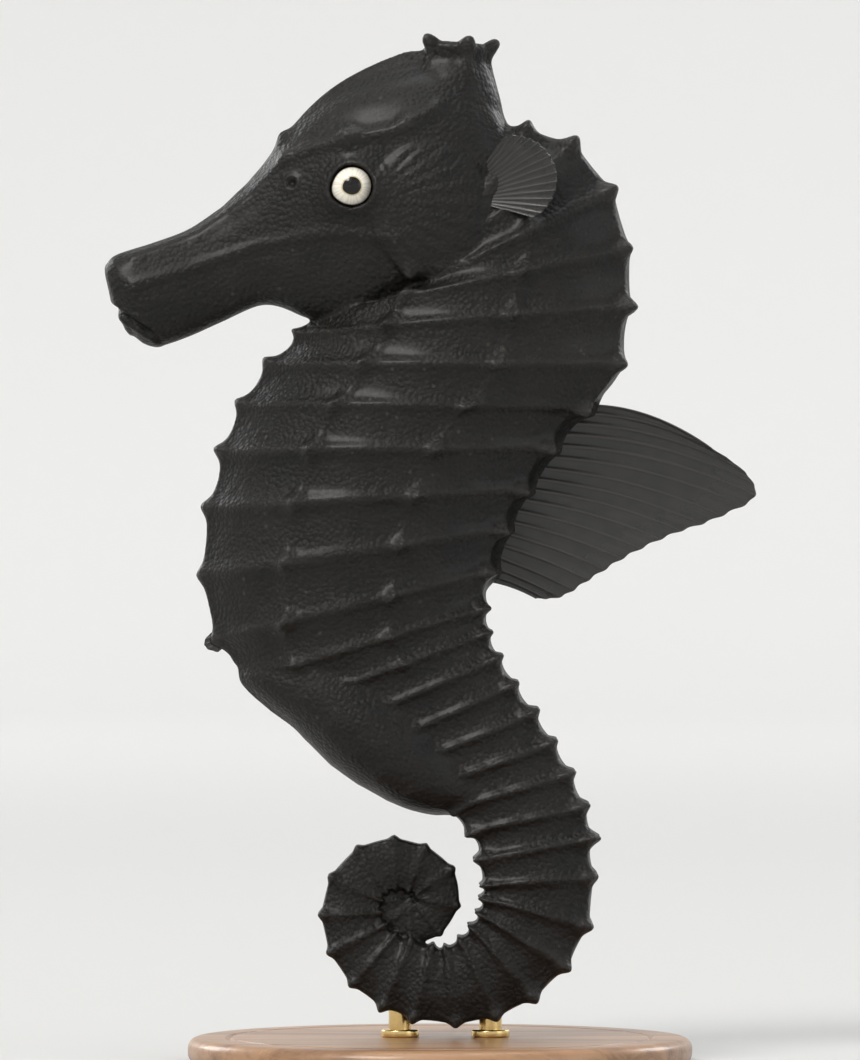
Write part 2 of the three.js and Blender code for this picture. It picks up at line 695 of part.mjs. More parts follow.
node("stand_base", base(), "wood");
for (const [name, x] of Object.entries(ROD_PLACES)) {
  node(`stand_rod_${name}`, rod(x).subtract(coilSwollen), "brass");
}

export default model;
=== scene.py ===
"""A life-size seahorse in its swimming pose, on a turned wooden stand with two brass rods.

Laid out as an add-on that runs by itself: it models the skin, the eyes, the fins and the stand over the
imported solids, and sets up a pale studio. Sizes in the tables are millimetres.
"""

import json
from functools import partial, partialmethod
from math import cos, pi, radians, sin

import bpy
import numpy as np
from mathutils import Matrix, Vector, kdtree
from numpy.linalg import norm

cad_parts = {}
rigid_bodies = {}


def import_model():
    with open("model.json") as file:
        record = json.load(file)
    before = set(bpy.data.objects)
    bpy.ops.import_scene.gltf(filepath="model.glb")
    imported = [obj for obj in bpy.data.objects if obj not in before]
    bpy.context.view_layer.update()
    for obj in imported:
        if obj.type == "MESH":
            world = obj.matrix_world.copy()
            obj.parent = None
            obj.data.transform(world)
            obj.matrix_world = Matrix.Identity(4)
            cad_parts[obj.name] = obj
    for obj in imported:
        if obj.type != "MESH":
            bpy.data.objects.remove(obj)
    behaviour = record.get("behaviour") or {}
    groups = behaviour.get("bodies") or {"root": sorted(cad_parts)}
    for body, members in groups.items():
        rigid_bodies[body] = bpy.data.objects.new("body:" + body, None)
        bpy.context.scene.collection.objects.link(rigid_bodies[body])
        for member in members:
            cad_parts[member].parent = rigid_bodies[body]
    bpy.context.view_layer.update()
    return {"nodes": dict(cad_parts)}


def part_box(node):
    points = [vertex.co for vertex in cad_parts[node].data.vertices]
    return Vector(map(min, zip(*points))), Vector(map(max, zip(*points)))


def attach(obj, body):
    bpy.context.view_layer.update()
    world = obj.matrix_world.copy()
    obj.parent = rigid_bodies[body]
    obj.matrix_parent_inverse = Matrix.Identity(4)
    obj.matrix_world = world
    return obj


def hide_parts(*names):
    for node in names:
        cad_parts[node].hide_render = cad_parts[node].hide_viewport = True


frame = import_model()

bl_info = {
    "name": "Seahorse on a stand",
    "version": (1, 0, 0),
    "blender": (4, 5, 0),
    "location": "3D View > Sidebar > Seahorse",
    "description": "Models a life-size seahorse, its display stand and a studio",
    "category": "Add Mesh",
}

MM = 0.001

# ---- the body's line
# Lines across it from neck to coil: the back's x and z, the belly's x and z, and half the width
BODY_LINES = [
    [4.4, 108.4, -1.2, 92.6, 4.6], [10.1, 107.2, -1.7, 88, 5.9], [15.6, 105.1, -4.1, 87.5, 6.8],
    [20, 99.2, -7.6, 86.6, 7.7], [21.8, 92.1, -14.4, 85.3, 8.4], [21.5, 85.1, -16.8, 82.8, 8.9],
    [20.1, 78.3, -20.8, 78.4, 9.1], [14.8, 73.7, -23.7, 73.3, 9.1], [11.2, 68.4, -25.5, 67, 8.9],
    [8.3, 63.5, -26.9, 59.3, 8.5], [6.3, 58.4, -26.1, 50.9, 7.9], [5.4, 53, -22.3, 45, 7.2],
    [6.1, 48.2, -13.8, 40.4, 6.6], [8.7, 43.5, -8.1, 36.2, 6.2], [12, 38.4, -3.3, 32.7, 6],
    [15, 33.1, 0.8, 29.2, 5.8], [17, 27.7, 4.1, 25.4, 5.6],
]
FIRST_LINE = -1  # its body coordinate; the next are 0, 1, 2 ...

# The coil, a flat spiral, at each quarter turn: its outer side's distance from the centre, and its depth
COIL_CENTRE = np.array([-3.7, 19.3])
COIL_TURNS = [
    [21.1, 12.5], [13.6, 7.3], [9.4, 5.3], [6.2, 4.2], [5.9, 3.7], [5.4, 3.1], [3.35, 2.5], [1, 1.55],
    [1.5, 1.3], [1.75, 0.85], [1.4, 0.5],
]
SNUG_FROM, SNUG_TO, SNUG_BY = (64, 96), 640, 0.45  # degrees where turns touch, and how deeply
COIL_CORE = 0.25  # radius of its open middle
COIL_WIDTH = 0.46  # half the width as a share of the depth
COIL_END = 828
COIL_DEGREES = np.arange(-12.8, COIL_END, 15)

# ---- rings
TRUNK_RINGS, TAIL_RINGS = 11, 34
TRUNK_PITCH = 0.93  # lines per trunk ring
TAIL_TAPER = 1.4  # how fast they shorten towards the tip
FIRST_RING, LAST_RING = -0.85, 44.45
# A ring's corners from back to belly: shares of half the depth and half the width, and the knob's size
TRUNK_CORNERS = [[0.99, 0, 0], [0.95, 0.44, 0.9], [0.3, 0.97, 0.9], [-0.45, 0.84, 0.7], [-1, 0, 0.4]]
TAIL_CORNERS = [[0.97, 0, 0], [0.91, 0.74, 0.65], [0, 0.95, 0], [-0.88, 0.7, 0.45], [-0.96, 0, 0]]
CORNER_STEPS = [14, 40, 44, 40]  # points between them
ROWS_PER_RING = 26
TAIL_FROM, TAIL_BY = 8.6, 12  # lines where the trunk's section turns into the tail's
FULL_DEPTH = 6.0  # half depth under which knobs and rings shrink with it
LATERAL = 2  # the corner that the widest ridge runs along
CREST_SHARE, CREST_WIDTH = 0.65, 0.13  # the narrow crest's share of the relief, and its width
RING_CHANCE, KNOB_CHANCE = (0.85, 1.15), (0.75, 1.2)  # ranges in which their heights vary
TALL_KNOB, PLAIN_KNOB = 1.3, 0.95
RIDGE_IN_GROOVE, RIDGE_ON_CREST = 0.55, 0.45  # its height between rings, and what a ring adds
RIDGE_WIDTH, KNOB_RADIUS, KNOB_SHAPE = 0.75, 1.05, 1.7
FULLY_RAISED = 1.2  # height that gives a crest its full painted highlight
TAIL_ROUND = 0.5  # rings over which the tip is rounded

# ---- head
# In its own frame: along from the tip of the snout, across, and up
SNOUT_TIP = np.array([-37.5, 0, 87.2])
HEAD_TILT = radians(20)
ACROSS = np.array([0, 1, 0])
HEAD_ALONG = np.array([cos(HEAD_TILT), 0, sin(HEAD_TILT)])
HEAD_UP = np.array([-sin(HEAD_TILT), 0, cos(HEAD_TILT)])
# Distance from the tip, height over and under the axis, half width
HEAD_LINES = [
    [0.2, 3.5, 2.6, 2], [0.9, 4.7, 4.1, 3], [1.7, 5.2, 5.4, 3.5], [2.9, 5.3, 6.25, 3.7],
    [6.5, 5.1, 6.4, 3.6], [11, 5.1, 6.1, 3.4], [15.5, 6.1, 5.8, 3.6], [17.6, 7, 6.6, 3.9],
    [20, 8.1, 8.8, 4.2], [24, 10.4, 11.3, 5], [28.5, 12.7, 12.2, 5.9], [33, 13.9, 12.2, 6.7],
    [38, 14, 12.5, 7.1], [42.5, 13.5, 11.4, 6.8], [46, 12, 8.8, 5.8], [48.4, 9, 5.8, 4.2],
    [49.6, 5.2, 3, 2.2],
]
# The ridge along the middle of the forehead: distance from the tip, height
CROWN_LINES = [[0, 0], [15, 0.2], [25, 0.5], [33, 1.2], [40, 2], [44, 2.2], [47.5, 1], [49.6, 0]]
CROWN_WIDTH = 1.0
HEAD_SQUARENESS = 2.25
HEAD_ROWS, HEAD_ROUND = 250, 300
TIP_ROUND, TIP_BLUNTNESS = 0.9, 2.5
SIDE_SHARE = (0.25, 0.6)  # where its top turns into its side
# The gill cover: middle, half length and height, how far out its edge and middle are, its fine ridges
GILL_AT, GILL_SIZE, GILL_OUT, GILL_EDGE = (38.1, -2.6), (7.4, 8.2), (5.6, 2.3), 0.25
SCORES, SCORE_FROM, SCORE_START, SCORE_HEIGHT = 34, (31, 1), (2.5, 6), 0.07
EYE_AT = (30.4, 5, 3.2)  # along, across, up
EYE_RADIUS, EYE_REACH = 2.6, 8  # it shapes the skin up to this far
ORBIT = (0.6, 2.7, 1.6)  # the rise round the eye: height, radius of its top, softness
EYE_RIM = 0.42  # height and width
WRINKLES = (0.07, 0.8, 4, 0.9)  # height, distance apart, radius, softness
SOCKET, SOCKET_DEPTH = (2.45, 2.12), 0.8  # the skin dives under the ball between these radii
EYE_POINT, EYE_POINT_WIDTH = 0.12, 0.5  # how much further it reaches towards the snout, and radians
IRIS_SIZE, CORNEA, CORNEA_WIDTH = 0.86, 0.06, 0.55  # shares of its radius
MOUTH_DEG, MOUTH_CORNER, MOUTH_FULL = 54, 4.2, 2.4
NOSTRIL_AT = (24, 6)
# Dents: the lip's height, distance from the middle and width, then the dent's depth and width
MOUTH = (0.22, 0.55, 0.3, 0.75, 0.2)
NOSTRIL = (0.22, 0.75, 0.3, 0.6, 0.42)
POUCH_SLIT = (0.2, 0.8, 0.45, 0.4, 0.3)
# Ridges on its side: height, width, then points along and up
HEAD_RIDGES = [
    (0.5, 0.8, [(24.5, 9), (28.5, 8.9), (32, 8.4), (37, 7.6), (42.5, 8.4)]),
    (0.3, 0.7, [(3, 1.2), (10, 0.8), (18, 0.6), (25, -0.6), (29, -2), (33, -4.2)]),
    (0.3, 0.7, [(4, 4.3), (12, 4.2), (19, 6.2), (24.5, 9)]),
]
# Blunt spines: place, direction, radius and height
HEAD_SPINES = [
    ((25.3, 0, 10.6), (-0.35, 0, 1), 1.7, 1.5),
    ((31.8, 5, 8.4), (0.1, 0.8, 0.9), 1.8, 1.5),
    ((33, 6.3, -8.2), (-0.15, 1, -0.75), 1.7, 1.5),
    ((38.5, 5.9, 7.6), (0.1, 0.9, 0.5), 1.3, 0.8),
]
SPINE_WAIST = 0.6  # share of the foot's width

CORONET_FOOT = (44.6, 0, 8.4)
CORONET_LEAN = radians(24)
CORONET_POINTS, POINT_SHARPNESS, POINT_DIP = 5, 1.3, 0.3
CORONET_STEPS, CORONET_ROUND = 80, 220
# Height, radius along the head and across, how far the points stand out and rise
CORONET_ROWS = [
    [-1.5, 6, 4.3, 0, 0], [0.5, 5.5, 4.4, 0, 0], [2.6, 4.7, 3.9, 0.03, 0], [4, 4.1, 3.3, 0.08, 0],
    [5.2, 3.7, 2.85, 0.15, 0.15], [6.6, 4.1, 3.3, 0.28, 0.8], [7.2, 3.3, 2.6, 0.28, 0.7],
    [5.7, 1.5, 1.2, 0.1, 0],
]

# ---- fins
DORSAL_RAYS = 18
DORSAL_FROM, DORSAL_TO = 5.6, 9.4  # lines of its first and last ray
# From the first ray to the last: the tip's x and z, and how far it bows up
DORSAL_TIPS = [
    [31.2, 70.7, 1.9], [35.2, 67.9, 1.8], [36.2, 65, 1.6], [31.6, 62.5, 1.2], [26.6, 60.7, 0.9],
    [21.8, 58.4, 0.6], [17.6, 55.8, 0.4], [14, 53.6, 0.3], [11, 53.4, 0.6],
]
DORSAL_WAVE, DORSAL_WAVES = 0.9, 2.5  # how far its margin sways, and how often
DORSAL_SUNK = 3  # how deep its rays stand in the back
FIN_ROOT_HEIGHT, FIN_ROOT_WIDTH = 0.9, 0.95  # the ridge that its rays rise from
PECTORAL_RAYS = 15
PECTORAL_ROOT = (45.4, 6.4, -2.4)  # along, out and up in the head's frame
PECTORAL_SUNK, PECTORAL_BASE, PECTORAL_LENGTH = 1.2, 3.8, 8.4
PECTORAL_SHARES = (0.64, 0.36, 0.7)  # of that: at the edges, added in the middle, and how fast
PECTORAL_SPREAD, PECTORAL_FLATNESS = radians(100), 0.72
PECTORAL_LINE, LATERAL_PITCH = 0.05, 3.3  # body coordinate of its root, millimetres a line there
LOBE_HEIGHT, LOBE_TALL, LOBE_LONG = 0.9, 2.3, 1.2  # the lobe that its rays rise from
PECTORAL_OUT = radians(27)  # how far it stands out from the body
PECTORAL_LEAN = 1.7  # how much further out its lowest ray is
ANAL_RAYS, ANAL_AT, ANAL_SUNK = 5, 9.35, 2
ANAL_LENGTH, ANAL_SHARES = 2, (0.3, 0.7, 0.6)
ANAL_ROOT, ANAL_MARGIN, ANAL_LEAN = 1.2, 2.4, 0.7
PER_RAY, CROWDING = 14, 0.75  # columns from ray to ray, and how much closer they are near one
NOTCH, SLACK = 0.1, 0.06  # how much the web is shorter and billows, as shares of the rays' distance
RAY_TAPER, RAY_WIDTH = 0.65, 0.65  # how much thinner its tip is, and half its width
WEB_ROOT, WEB_TAPER = 1.3, 0.6

# ---- brood pouch
POUCH_FROM, POUCH_TO = 9.6, 14.35
POUCH_BLEND = 1.6  # how softly it runs into the tail
POUCH_SMOOTH = 0.9  # share of the rings' relief that it hides
POUCH_TOP = 0.1  # how far its top is under the middle, as a share of the half depth
POUCH_ENDS = (-0.05, 0.02), (1.02, 0.94)  # shares of its length over which it sets in
POUCH_SHOWS = (0.1, 0.9)  # how far the skin swells where its looks change
SLIT_FROM, SLIT_TO = (9.75, 10), (11.2, 10.8)  # its opening
# How far it reaches past the tail's belly, and its half width
POUCH_LINES = [
    [-1.2, 1.6], [1.7, 5.4], [3.4, 7], [4.3, 7.6], [4.8, 7.7], [4.9, 7.5], [4.5, 7.1], [3.4, 6],
    [0.2, 2.4],
]


def spline(rows, at):
    """Catmull-Rom through rows, at the row numbers `at`."""
    rows = np.asarray(rows, float)
    at = np.atleast_1d(at)
    i = np.clip(np.floor(at).astype(int), 0, len(rows) - 2)
    f = (at - i)[:, None]
    a, b, c, d = (rows[np.clip(i + step, 0, len(rows) - 1)] for step in (-1, 0, 1, 2))
    return b + 0.5 * f * (c - a + f * (2 * a - 5 * b + 4 * c - d + f * (3 * (b - c) + d - a)))


def ramp(x, low, high):
    """0 at low, 1 at high, smooth between."""
    share = np.clip((x - low) / (high - low), 0, 1)
    return share * share * (3 - 2 * share)


def soft_max(a, b, reach):
    """The larger of two values, rounded off where they are close."""
    return np.maximum(a, b) + np.maximum(reach - np.abs(a - b), 0) ** 2 / (4 * reach)


def bump(distance, width):
    return np.exp(-((distance / width) ** 2))


def dent(distance, lip, lip_at, lip_width, depth, width):
    """A dent with a lip round it."""
    return lip * bump(distance - lip_at, lip_width) - depth * bump(distance, width)


def coil_lines(degrees):
    """Lines across the coiled tail, like BODY_LINES."""

    def middle(angle):
        outer, depth = spline(COIL_TURNS, angle / 90).T
        width = COIL_WIDTH * depth
        next_turn = spline(COIL_TURNS, (angle + 360) / 90)[:, 0]
        next_turn = np.where(angle + 360 < COIL_END, next_turn, COIL_CORE)
        snug = ramp(angle, *SNUG_FROM) * (angle < SNUG_TO)
        depth = depth + np.maximum(outer - next_turn + SNUG_BY - depth, 0) * snug
        out = np.stack([np.cos(np.radians(angle)), -np.sin(np.radians(angle))], 1)
        return COIL_CENTRE + out * (outer - depth / 2)[:, None], depth, width

    at, depth, width = middle(degrees)
    on = middle(degrees + 1)[0] - middle(degrees - 1)[0]
    on /= norm(on, axis=1)[:, None]
    out = np.stack([-on[:, 1], on[:, 0]], 1) * depth[:, None] / 2
    return np.hstack([at + out, at - out, width[:, None]])


BODY_ROWS = np.vstack([BODY_LINES, coil_lines(COIL_DEGREES)])
BODY_END = FIRST_LINE + len(BODY_ROWS) - 1


def body_line(t):
    """The sections' middle and way up, as x and z, half depth and half width."""
    row = spline(BODY_ROWS, np.asarray(t) - FIRST_LINE)
    back, belly = row[:, :2], row[:, 2:4]
    half_depth = norm(back - belly, axis=1) / 2
    return (back + belly) / 2, (back - belly) / 2 / half_depth[:, None], half_depth, row[:, 4]


TAIL_START = (TRUNK_RINGS - 0.5) * TRUNK_PITCH
TAIL_GRID = np.arange(TAIL_START, BODY_END, 0.05)
TAIL_STEPS = norm(np.diff(body_line(TAIL_GRID)[0], axis=0), axis=1)
TAIL_LENGTHS = np.cumsum([0, *TAIL_STEPS])


def ring_line(n):
    """Body coordinates of rings n: whole numbers are crests, halves are grooves."""
    share = np.clip((n - TRUNK_RINGS + 0.5) / TAIL_RINGS, 0, 1)
    length = TAIL_LENGTHS[-1] * (1 - (1 - share) ** TAIL_TAPER)
    return np.where(n <= TRUNK_RINGS - 0.5, n * TRUNK_PITCH, np.interp(length, TAIL_LENGTHS, TAIL_GRID))


# ---- surfaces
def in_plane(points):
    """Points given as x and z, made x, y and z."""
    return np.insert(points, 1, 0, axis=-1)


def grid_normals(points, out_from):
    """Unit normals of a grid with closed rows, facing away from a line."""
    round_ = np.roll(points, -1, 1) - np.roll(points, 1, 1)
    normal = np.cross(round_, np.gradient(points, axis=0))
    normal /= np.maximum(norm(normal, axis=2, keepdims=True), 1e-9)
    return normal * np.sign(np.sum(normal * (points - out_from[:, None])))


def both_sides(half):
    """A grid from back to belly, with its mirror image added."""
    other = half[:, -2:0:-1].copy()
    if half.ndim == 3:
        other[..., 1] *= -1
    return np.hstack([half, other])


def body_sections(t, half_depth, half_width, bulge):
    """Halves of the sections: the points' height and width, how far round they are, the corners' knobs."""
    tail = ramp(t, TAIL_FROM, TAIL_BY)[:, None, None]
    corners = np.array(TRUNK_CORNERS) * (1 - tail) + np.array(TAIL_CORNERS) * tail
    scale = np.stack([half_depth, half_width], 1)
    flats = []
    for i, steps in enumerate(CORNER_STEPS):
        a, b = corners[:, i, :2] * scale, corners[:, i + 1, :2] * scale
        length = norm(b - a, axis=1)[:, None]
        outward = np.stack([a[:, 1] - b[:, 1], b[:, 0] - a[:, 0]], 1) / length
        outward *= np.sign(np.sum(outward * (a + b), axis=1))[:, None]
        f = np.arange(min(i, 1), steps + 1)[None, :, None] / steps
        swell = 4 * f * (1 - f) * bulge * length[:, :, None]
        flats.append(a[:, None] + (b - a)[:, None] * f + outward[:, None] * swell)
    half = np.hstack(flats)
    steps = norm(np.diff(half, axis=1), axis=2)
    arc = np.pad(np.cumsum(steps, 1), ((0, 0), (1, 0)))
    return half, arc, corners[:, :, 2]


def swell_pouch(t, half, half_depth):
    """Swells the sections for the pouch. Returns them and how far each point is on it."""
    share = (t - POUCH_FROM) / (POUCH_TO - POUCH_FROM)
    reach, wide = spline(POUCH_LINES, np.clip(share, 0, 1) * (len(POUCH_LINES) - 1)).T
    ends = ramp(share, *POUCH_ENDS[0]) * ramp(share, *POUCH_ENDS[1])
    top, low = -POUCH_TOP * half_depth, -half_depth - reach
    centre, tall, wide = ((top + low) / 2)[:, None], ((top - low) / 2)[:, None], wide[:, None]
    radius = norm(half, axis=2)
    c, s = half[..., 0] / radius, half[..., 1] / radius
    # where a ray from the section's middle leaves the ellipse
    a = (c / tall) ** 2 + (s / wide) ** 2
    b = c * centre / tall**2
    inside = b * b - a * ((centre / tall) ** 2 - 1)
    ellipse = np.where(inside > 0, (b + np.sqrt(np.maximum(inside, 0))) / a, 0) * ends[:, None]
    swollen = soft_max(radius, ellipse, POUCH_BLEND)
    return half * (swollen / radius)[..., None], ramp(swollen - radius, *POUCH_SHOWS)


def body_relief(n, t, arc, knobs, pitch, size, on_pouch, sizes):
    """How far all that stands out of the half sections raises them."""
    u = (n - np.round(n))[:, None]
    ring = np.round(n).astype(int)
    chance = np.random.default_rng(7)
    rings = TRUNK_RINGS + TAIL_RINGS + 2
    ring_chance = chance.uniform(*RING_CHANCE, rings)
    knob_chance = chance.uniform(*KNOB_CHANCE, (rings, len(CORNER_STEPS) + 1))
    knob_chance[:2, LATERAL] = 0  # the pectoral fins stand here
    crest = CREST_SHARE * bump(u, CREST_WIDTH) + (1 - CREST_SHARE) * np.cos(pi * u) ** 2
    raised = sizes.ring_relief / MM * size * crest * ring_chance[ring][:, None] * np.ones_like(arc)
    # every third knob of the trunk and fourth of the tail is taller
    taller = np.where(np.where(ring <= TRUNK_RINGS, ring % 3 == 1, ring % 4 == 3), TALL_KNOB, PLAIN_KNOB)
    for i, column in enumerate(np.cumsum(CORNER_STEPS), start=1):
        knob = knobs[:, i, None]
        aside = np.abs(arc - arc[:, column, None])
        along = RIDGE_IN_GROOVE + RIDGE_ON_CREST * crest
        ridge = sizes.ridge_relief / MM * size * bump(aside, RIDGE_WIDTH * size) * along
        raised += ridge * ramp(knob, 0.02, 0.3)  # no ridge where there are no knobs
        away = np.hypot(aside, np.abs(u) * pitch) / (KNOB_RADIUS * size)
        height = sizes.knob_height / MM * size * knob * (knob_chance[ring, i] * taller)[:, None]
        raised += height * np.exp(-(away**KNOB_SHAPE))
    raised *= 1 - POUCH_SMOOTH * on_pouch
    aside = arc - arc[:, [np.cumsum(CORNER_STEPS)[LATERAL - 1]]]
    along = (t - PECTORAL_LINE)[:, None] * LATERAL_PITCH
    raised += LOBE_HEIGHT * bump(np.hypot(aside / LOBE_TALL, along / LOBE_LONG), 1)
    fin = ramp(t, DORSAL_FROM - 0.4, DORSAL_FROM) * ramp(t, DORSAL_TO + 0.4, DORSAL_TO)
    raised += FIN_ROOT_HEIGHT * fin[:, None] * bump(arc, FIN_ROOT_WIDTH)
    slit = ramp(t, *SLIT_FROM) * ramp(t, *SLIT_TO)
    raised += slit[:, None] * dent(arc[:, -1:] - arc, *POUCH_SLIT)
    return raised


def body_surface(sizes):
    """The points of the ringed body, and how far each is raised, from 0 to 1."""
    n = np.linspace(FIRST_RING, LAST_RING, int((LAST_RING - FIRST_RING) * ROWS_PER_RING))
    t = ring_line(n)
    middle, up, half_depth, half_width = body_line(t)
    half, arc, knobs = body_sections(t, half_depth, half_width, sizes.side_bulge)
    half, on_pouch = swell_pouch(t, half, half_depth)
    x, z = (middle[:, i, None] + up[:, i, None] * half[..., 0] for i in (0, 1))
    points = np.stack([x, half[..., 1], z], axis=2)
    pitch = norm(np.gradient(points, axis=0), axis=2) * ROWS_PER_RING
    size = np.minimum(1, half_depth / FULL_DEPTH)[:, None]
    raised = both_sides(body_relief(n, t, arc, knobs, pitch, size, on_pouch, sizes))
    points = both_sides(points)
    for _ in range(3):  # takes the sharpness off the corners
        points = (np.roll(points, 1, 1) + 2 * points + np.roll(points, -1, 1)) / 4
    axis = in_plane(middle)
    points += grid_normals(points, axis) * raised[..., None]
    left = (LAST_RING - n) / TAIL_ROUND
    tip = np.sqrt(1 - (1 - np.clip(left, 0, 1)) ** 2)[:, None, None]
    points = axis[:, None] + (points - axis[:, None]) * tip
    # how far each point is raised is also the share of painted highlight that the finish gives it
    return points, np.clip(raised / FULLY_RAISED, 0, 1)


def in_head(along, across, up):
    """Points given in the head's frame."""
    in_middle = SNOUT_TIP + along[..., None] * HEAD_ALONG + up[..., None] * HEAD_UP
    return in_middle + across[..., None] * ACROSS


def polyline_distance(a, b, line):
    """Distance of the points (a, b) from a line of straight pieces."""
    best = np.full(a.shape, 1e9)
    for (a0, b0), (a1, b1) in zip(line, line[1:]):
        da, db = a1 - a0, b1 - b0
        f = np.clip(((a - a0) * da + (b - b0) * db) / (da * da + db * db), 0, 1)
        best = np.minimum(best, np.hypot(a - a0 - f * da, b - b0 - f * db))
    return best


def eye_radius(ahead, up):
    """Distance from the eye's middle, less where it has its point, and the direction."""
    turn = np.arctan2(up, ahead)
    return np.hypot(up, ahead) / (1 + EYE_POINT * bump(turn, EYE_POINT_WIDTH)), turn


def head_line(rows, along):
    """Columns of rows at distances from the snout's tip, which the first column gives."""
    rows = np.array(rows)
    return spline(rows, np.interp(along, rows[:, 0], np.arange(len(rows)))).T[1:]


def head_surface():
    """The same for the head and snout."""
    lines = np.array(HEAD_LINES)
    along = np.linspace(0.004, lines[-1, 0], HEAD_ROWS)
    over, under, half_width = head_line(HEAD_LINES, np.maximum(along, TIP_ROUND))
    tip = (1 - (1 - np.clip(along / TIP_ROUND, 0, 1)) ** TIP_BLUNTNESS) ** (1 / TIP_BLUNTNESS)
    turn = np.linspace(0, 2 * pi, HEAD_ROUND, endpoint=False)[None]
    c, s = (np.sign(v) * np.abs(v) ** (2 / HEAD_SQUARENESS) for v in (np.cos(turn), np.sin(turn)))
    up = np.where(c > 0, over[:, None], under[:, None]) * c * tip[:, None]
    across = half_width[:, None] * s * tip[:, None]
    up = up + head_line(CROWN_LINES, along)[0][:, None] * bump(across, CROWN_WIDTH) * (c > 0)
    a = np.repeat(along[:, None], HEAD_ROUND, axis=1)
    side, y = np.sign(across), np.abs(across)
    facing = ramp(np.abs(s), *SIDE_SHARE) * np.ones_like(a)  # 1 on the sides of the head

    # gill cover: a swollen plate with an edge, scored by fine ridges
    r = np.hypot((a - GILL_AT[0]) / GILL_SIZE[0], (up - GILL_AT[1]) / GILL_SIZE[1])
    cover = GILL_OUT[0] + GILL_OUT[1] * np.sqrt(np.maximum(1 - r * r, 0))
    y = np.where(r < 1, soft_max(y, cover, 0.5), y)
    fan_a, fan_up = a - SCORE_FROM[0], up - SCORE_FROM[1]
    score = np.cos(SCORES * np.arctan2(fan_up, fan_a)) * ramp(r, 1.0, 0.85)
    score *= ramp(np.hypot(fan_a, fan_up), *SCORE_START)
    y = y + (GILL_EDGE * ramp(r, 1.0, 0.93) + SCORE_HEIGHT * score) * facing

    # round the eye the skin rises to a rim, is wrinkled, and dives under the ball
    rho = eye_radius(EYE_AT[0] - a, up - EYE_AT[2])[0]
    on_side = facing * (rho < EYE_REACH)
    height, flat, soft = ORBIT
    rim = EYE_RIM * bump(rho - EYE_RADIUS, EYE_RIM)
    y = y + on_side * (height * np.where(rho < flat, 1, bump(rho - flat, soft)) + rim)
    height, pitch, radius, soft = WRINKLES
    y = y + on_side * height * np.cos(2 * pi * (rho - EYE_RADIUS) / pitch) * bump(rho - radius, soft)
    socket = ramp(rho, *SOCKET) * facing
    y = y * (1 - socket) + (EYE_AT[1] - SOCKET_DEPTH) * socket

    points = in_head(a, side * y, up)
    normal = grid_normals(points, in_head(along, 0 * along, 0 * along))
    raised = 0 * a
    for height, width, line in HEAD_RIDGES:
        raised += height * bump(polyline_distance(a, up, line), width) * facing
    slope = radians(MOUTH_DEG)
    corner = np.interp(MOUTH_CORNER, lines[:, 0], lines[:, 2])
    slit = (a - MOUTH_CORNER) * sin(slope) + (up + corner) * cos(slope)
    raised += ramp(a, MOUTH_CORNER, MOUTH_FULL) * dent(np.abs(slit), *MOUTH)
    raised += facing * dent(np.hypot(a - NOSTRIL_AT[0], up - NOSTRIL_AT[1]), *NOSTRIL)
    points = points + normal * raised[..., None]
    # how much painted highlight each spot gets: the ridges, lips and spines, and the rim round the eye
    shown = np.clip(raised, 0, 1) + 0.5 * on_side * bump(rho - EYE_RADIUS, 0.5)
    for place, direction, radius, height in HEAD_SPINES:
        for mirror in (1, -1) if place[1] else (1,):
            aim = direction[0] * HEAD_ALONG + direction[1] * mirror * ACROSS + direction[2] * HEAD_UP
            aim /= norm(aim)
            foot = in_head(*np.array([place[0], place[1] * mirror, place[2]]))
            away = norm(points - foot, axis=2) / (SPINE_WAIST * radius)
            lift = np.exp(-(away**KNOB_SHAPE))
            points = points + lift[..., None] * height * aim
            shown = shown + lift
    return points, np.clip(shown, 0, 1)


def coronet_surface():
    """The same for the crown."""
    k = np.linspace(0, len(CORONET_ROWS) - 1, CORONET_STEPS)
    height, along, wide, spread, rise = (v[:, None] for v in spline(CORONET_ROWS, k).T)
    turn = np.linspace(0, 2 * pi, CORONET_ROUND, endpoint=False)[None]
    point = np.maximum(0, np.cos(CORONET_POINTS * turn)) ** POINT_SHARPNESS - POINT_DIP
    r = 1 + spread * point
    x, y, z = along * r * np.cos(turn), wide * r * np.sin(turn), height + rise * point
    c, s = cos(CORONET_LEAN), sin(CORONET_LEAN)
    points = in_head(CORONET_FOOT[0] + c * x + s * z, y, CORONET_FOOT[2] - s * x + c * z)
    # its upper part and its points get the painted highlight, more the higher they are
    return points, np.clip(ramp(height, 3, 6.5) * (0.4 + point), 0, 1)


# ---- meshes
def skin_of_grids(grids):
    """Closed tubes, each a grid of points with a fan over each end."""
    points, faces, start = [], [], 0
    for grid in grids:
        rows, count = grid.shape[:2]
        index = start + np.arange(rows * count).reshape(rows, count)
        on = np.roll(index, -1, 1)
        end = start + rows * count
        faces += np.stack([index[:-1], on[:-1], on[1:], index[1:]], axis=-1).reshape(-1, 4).tolist()
        for fan in ((on[0], index[0], end), (index[-1], on[-1], end + 1)):
            faces += np.stack(np.broadcast_arrays(*fan), 1).tolist()
        points += [grid.reshape(-1, 3), grid[0].mean(0), grid[-1].mean(0)]
        start = end + 2
    mesh = bpy.data.meshes.new("skin")
    mesh.from_pydata(np.vstack(points) * MM, [], faces)
    obj = bpy.data.objects.new("skin", mesh)
    bpy.context.scene.collection.objects.link(obj)
    return obj


def coordinates(obj):
    co = np.zeros(len(obj.data.vertices) * 3)
    obj.data.vertices.foreach_get("co", co)
    return co.reshape(-1, 3)


def nearest(points, to):
    """For each point of `to`, the number and the distance of the nearest of points."""
    tree = kdtree.KDTree(len(points))
    for i, point in enumerate(points):
        tree.insert(point, i)
    tree.balance()
    found = [tree.find(point) for point in to]
    return np.array([f[1] for f in found]), np.array([f[2] for f in found])


def select_only(obj):
    bpy.ops.object.select_all(action="DESELECT")
    obj.select_set(True)
    bpy.context.view_layer.objects.active = obj


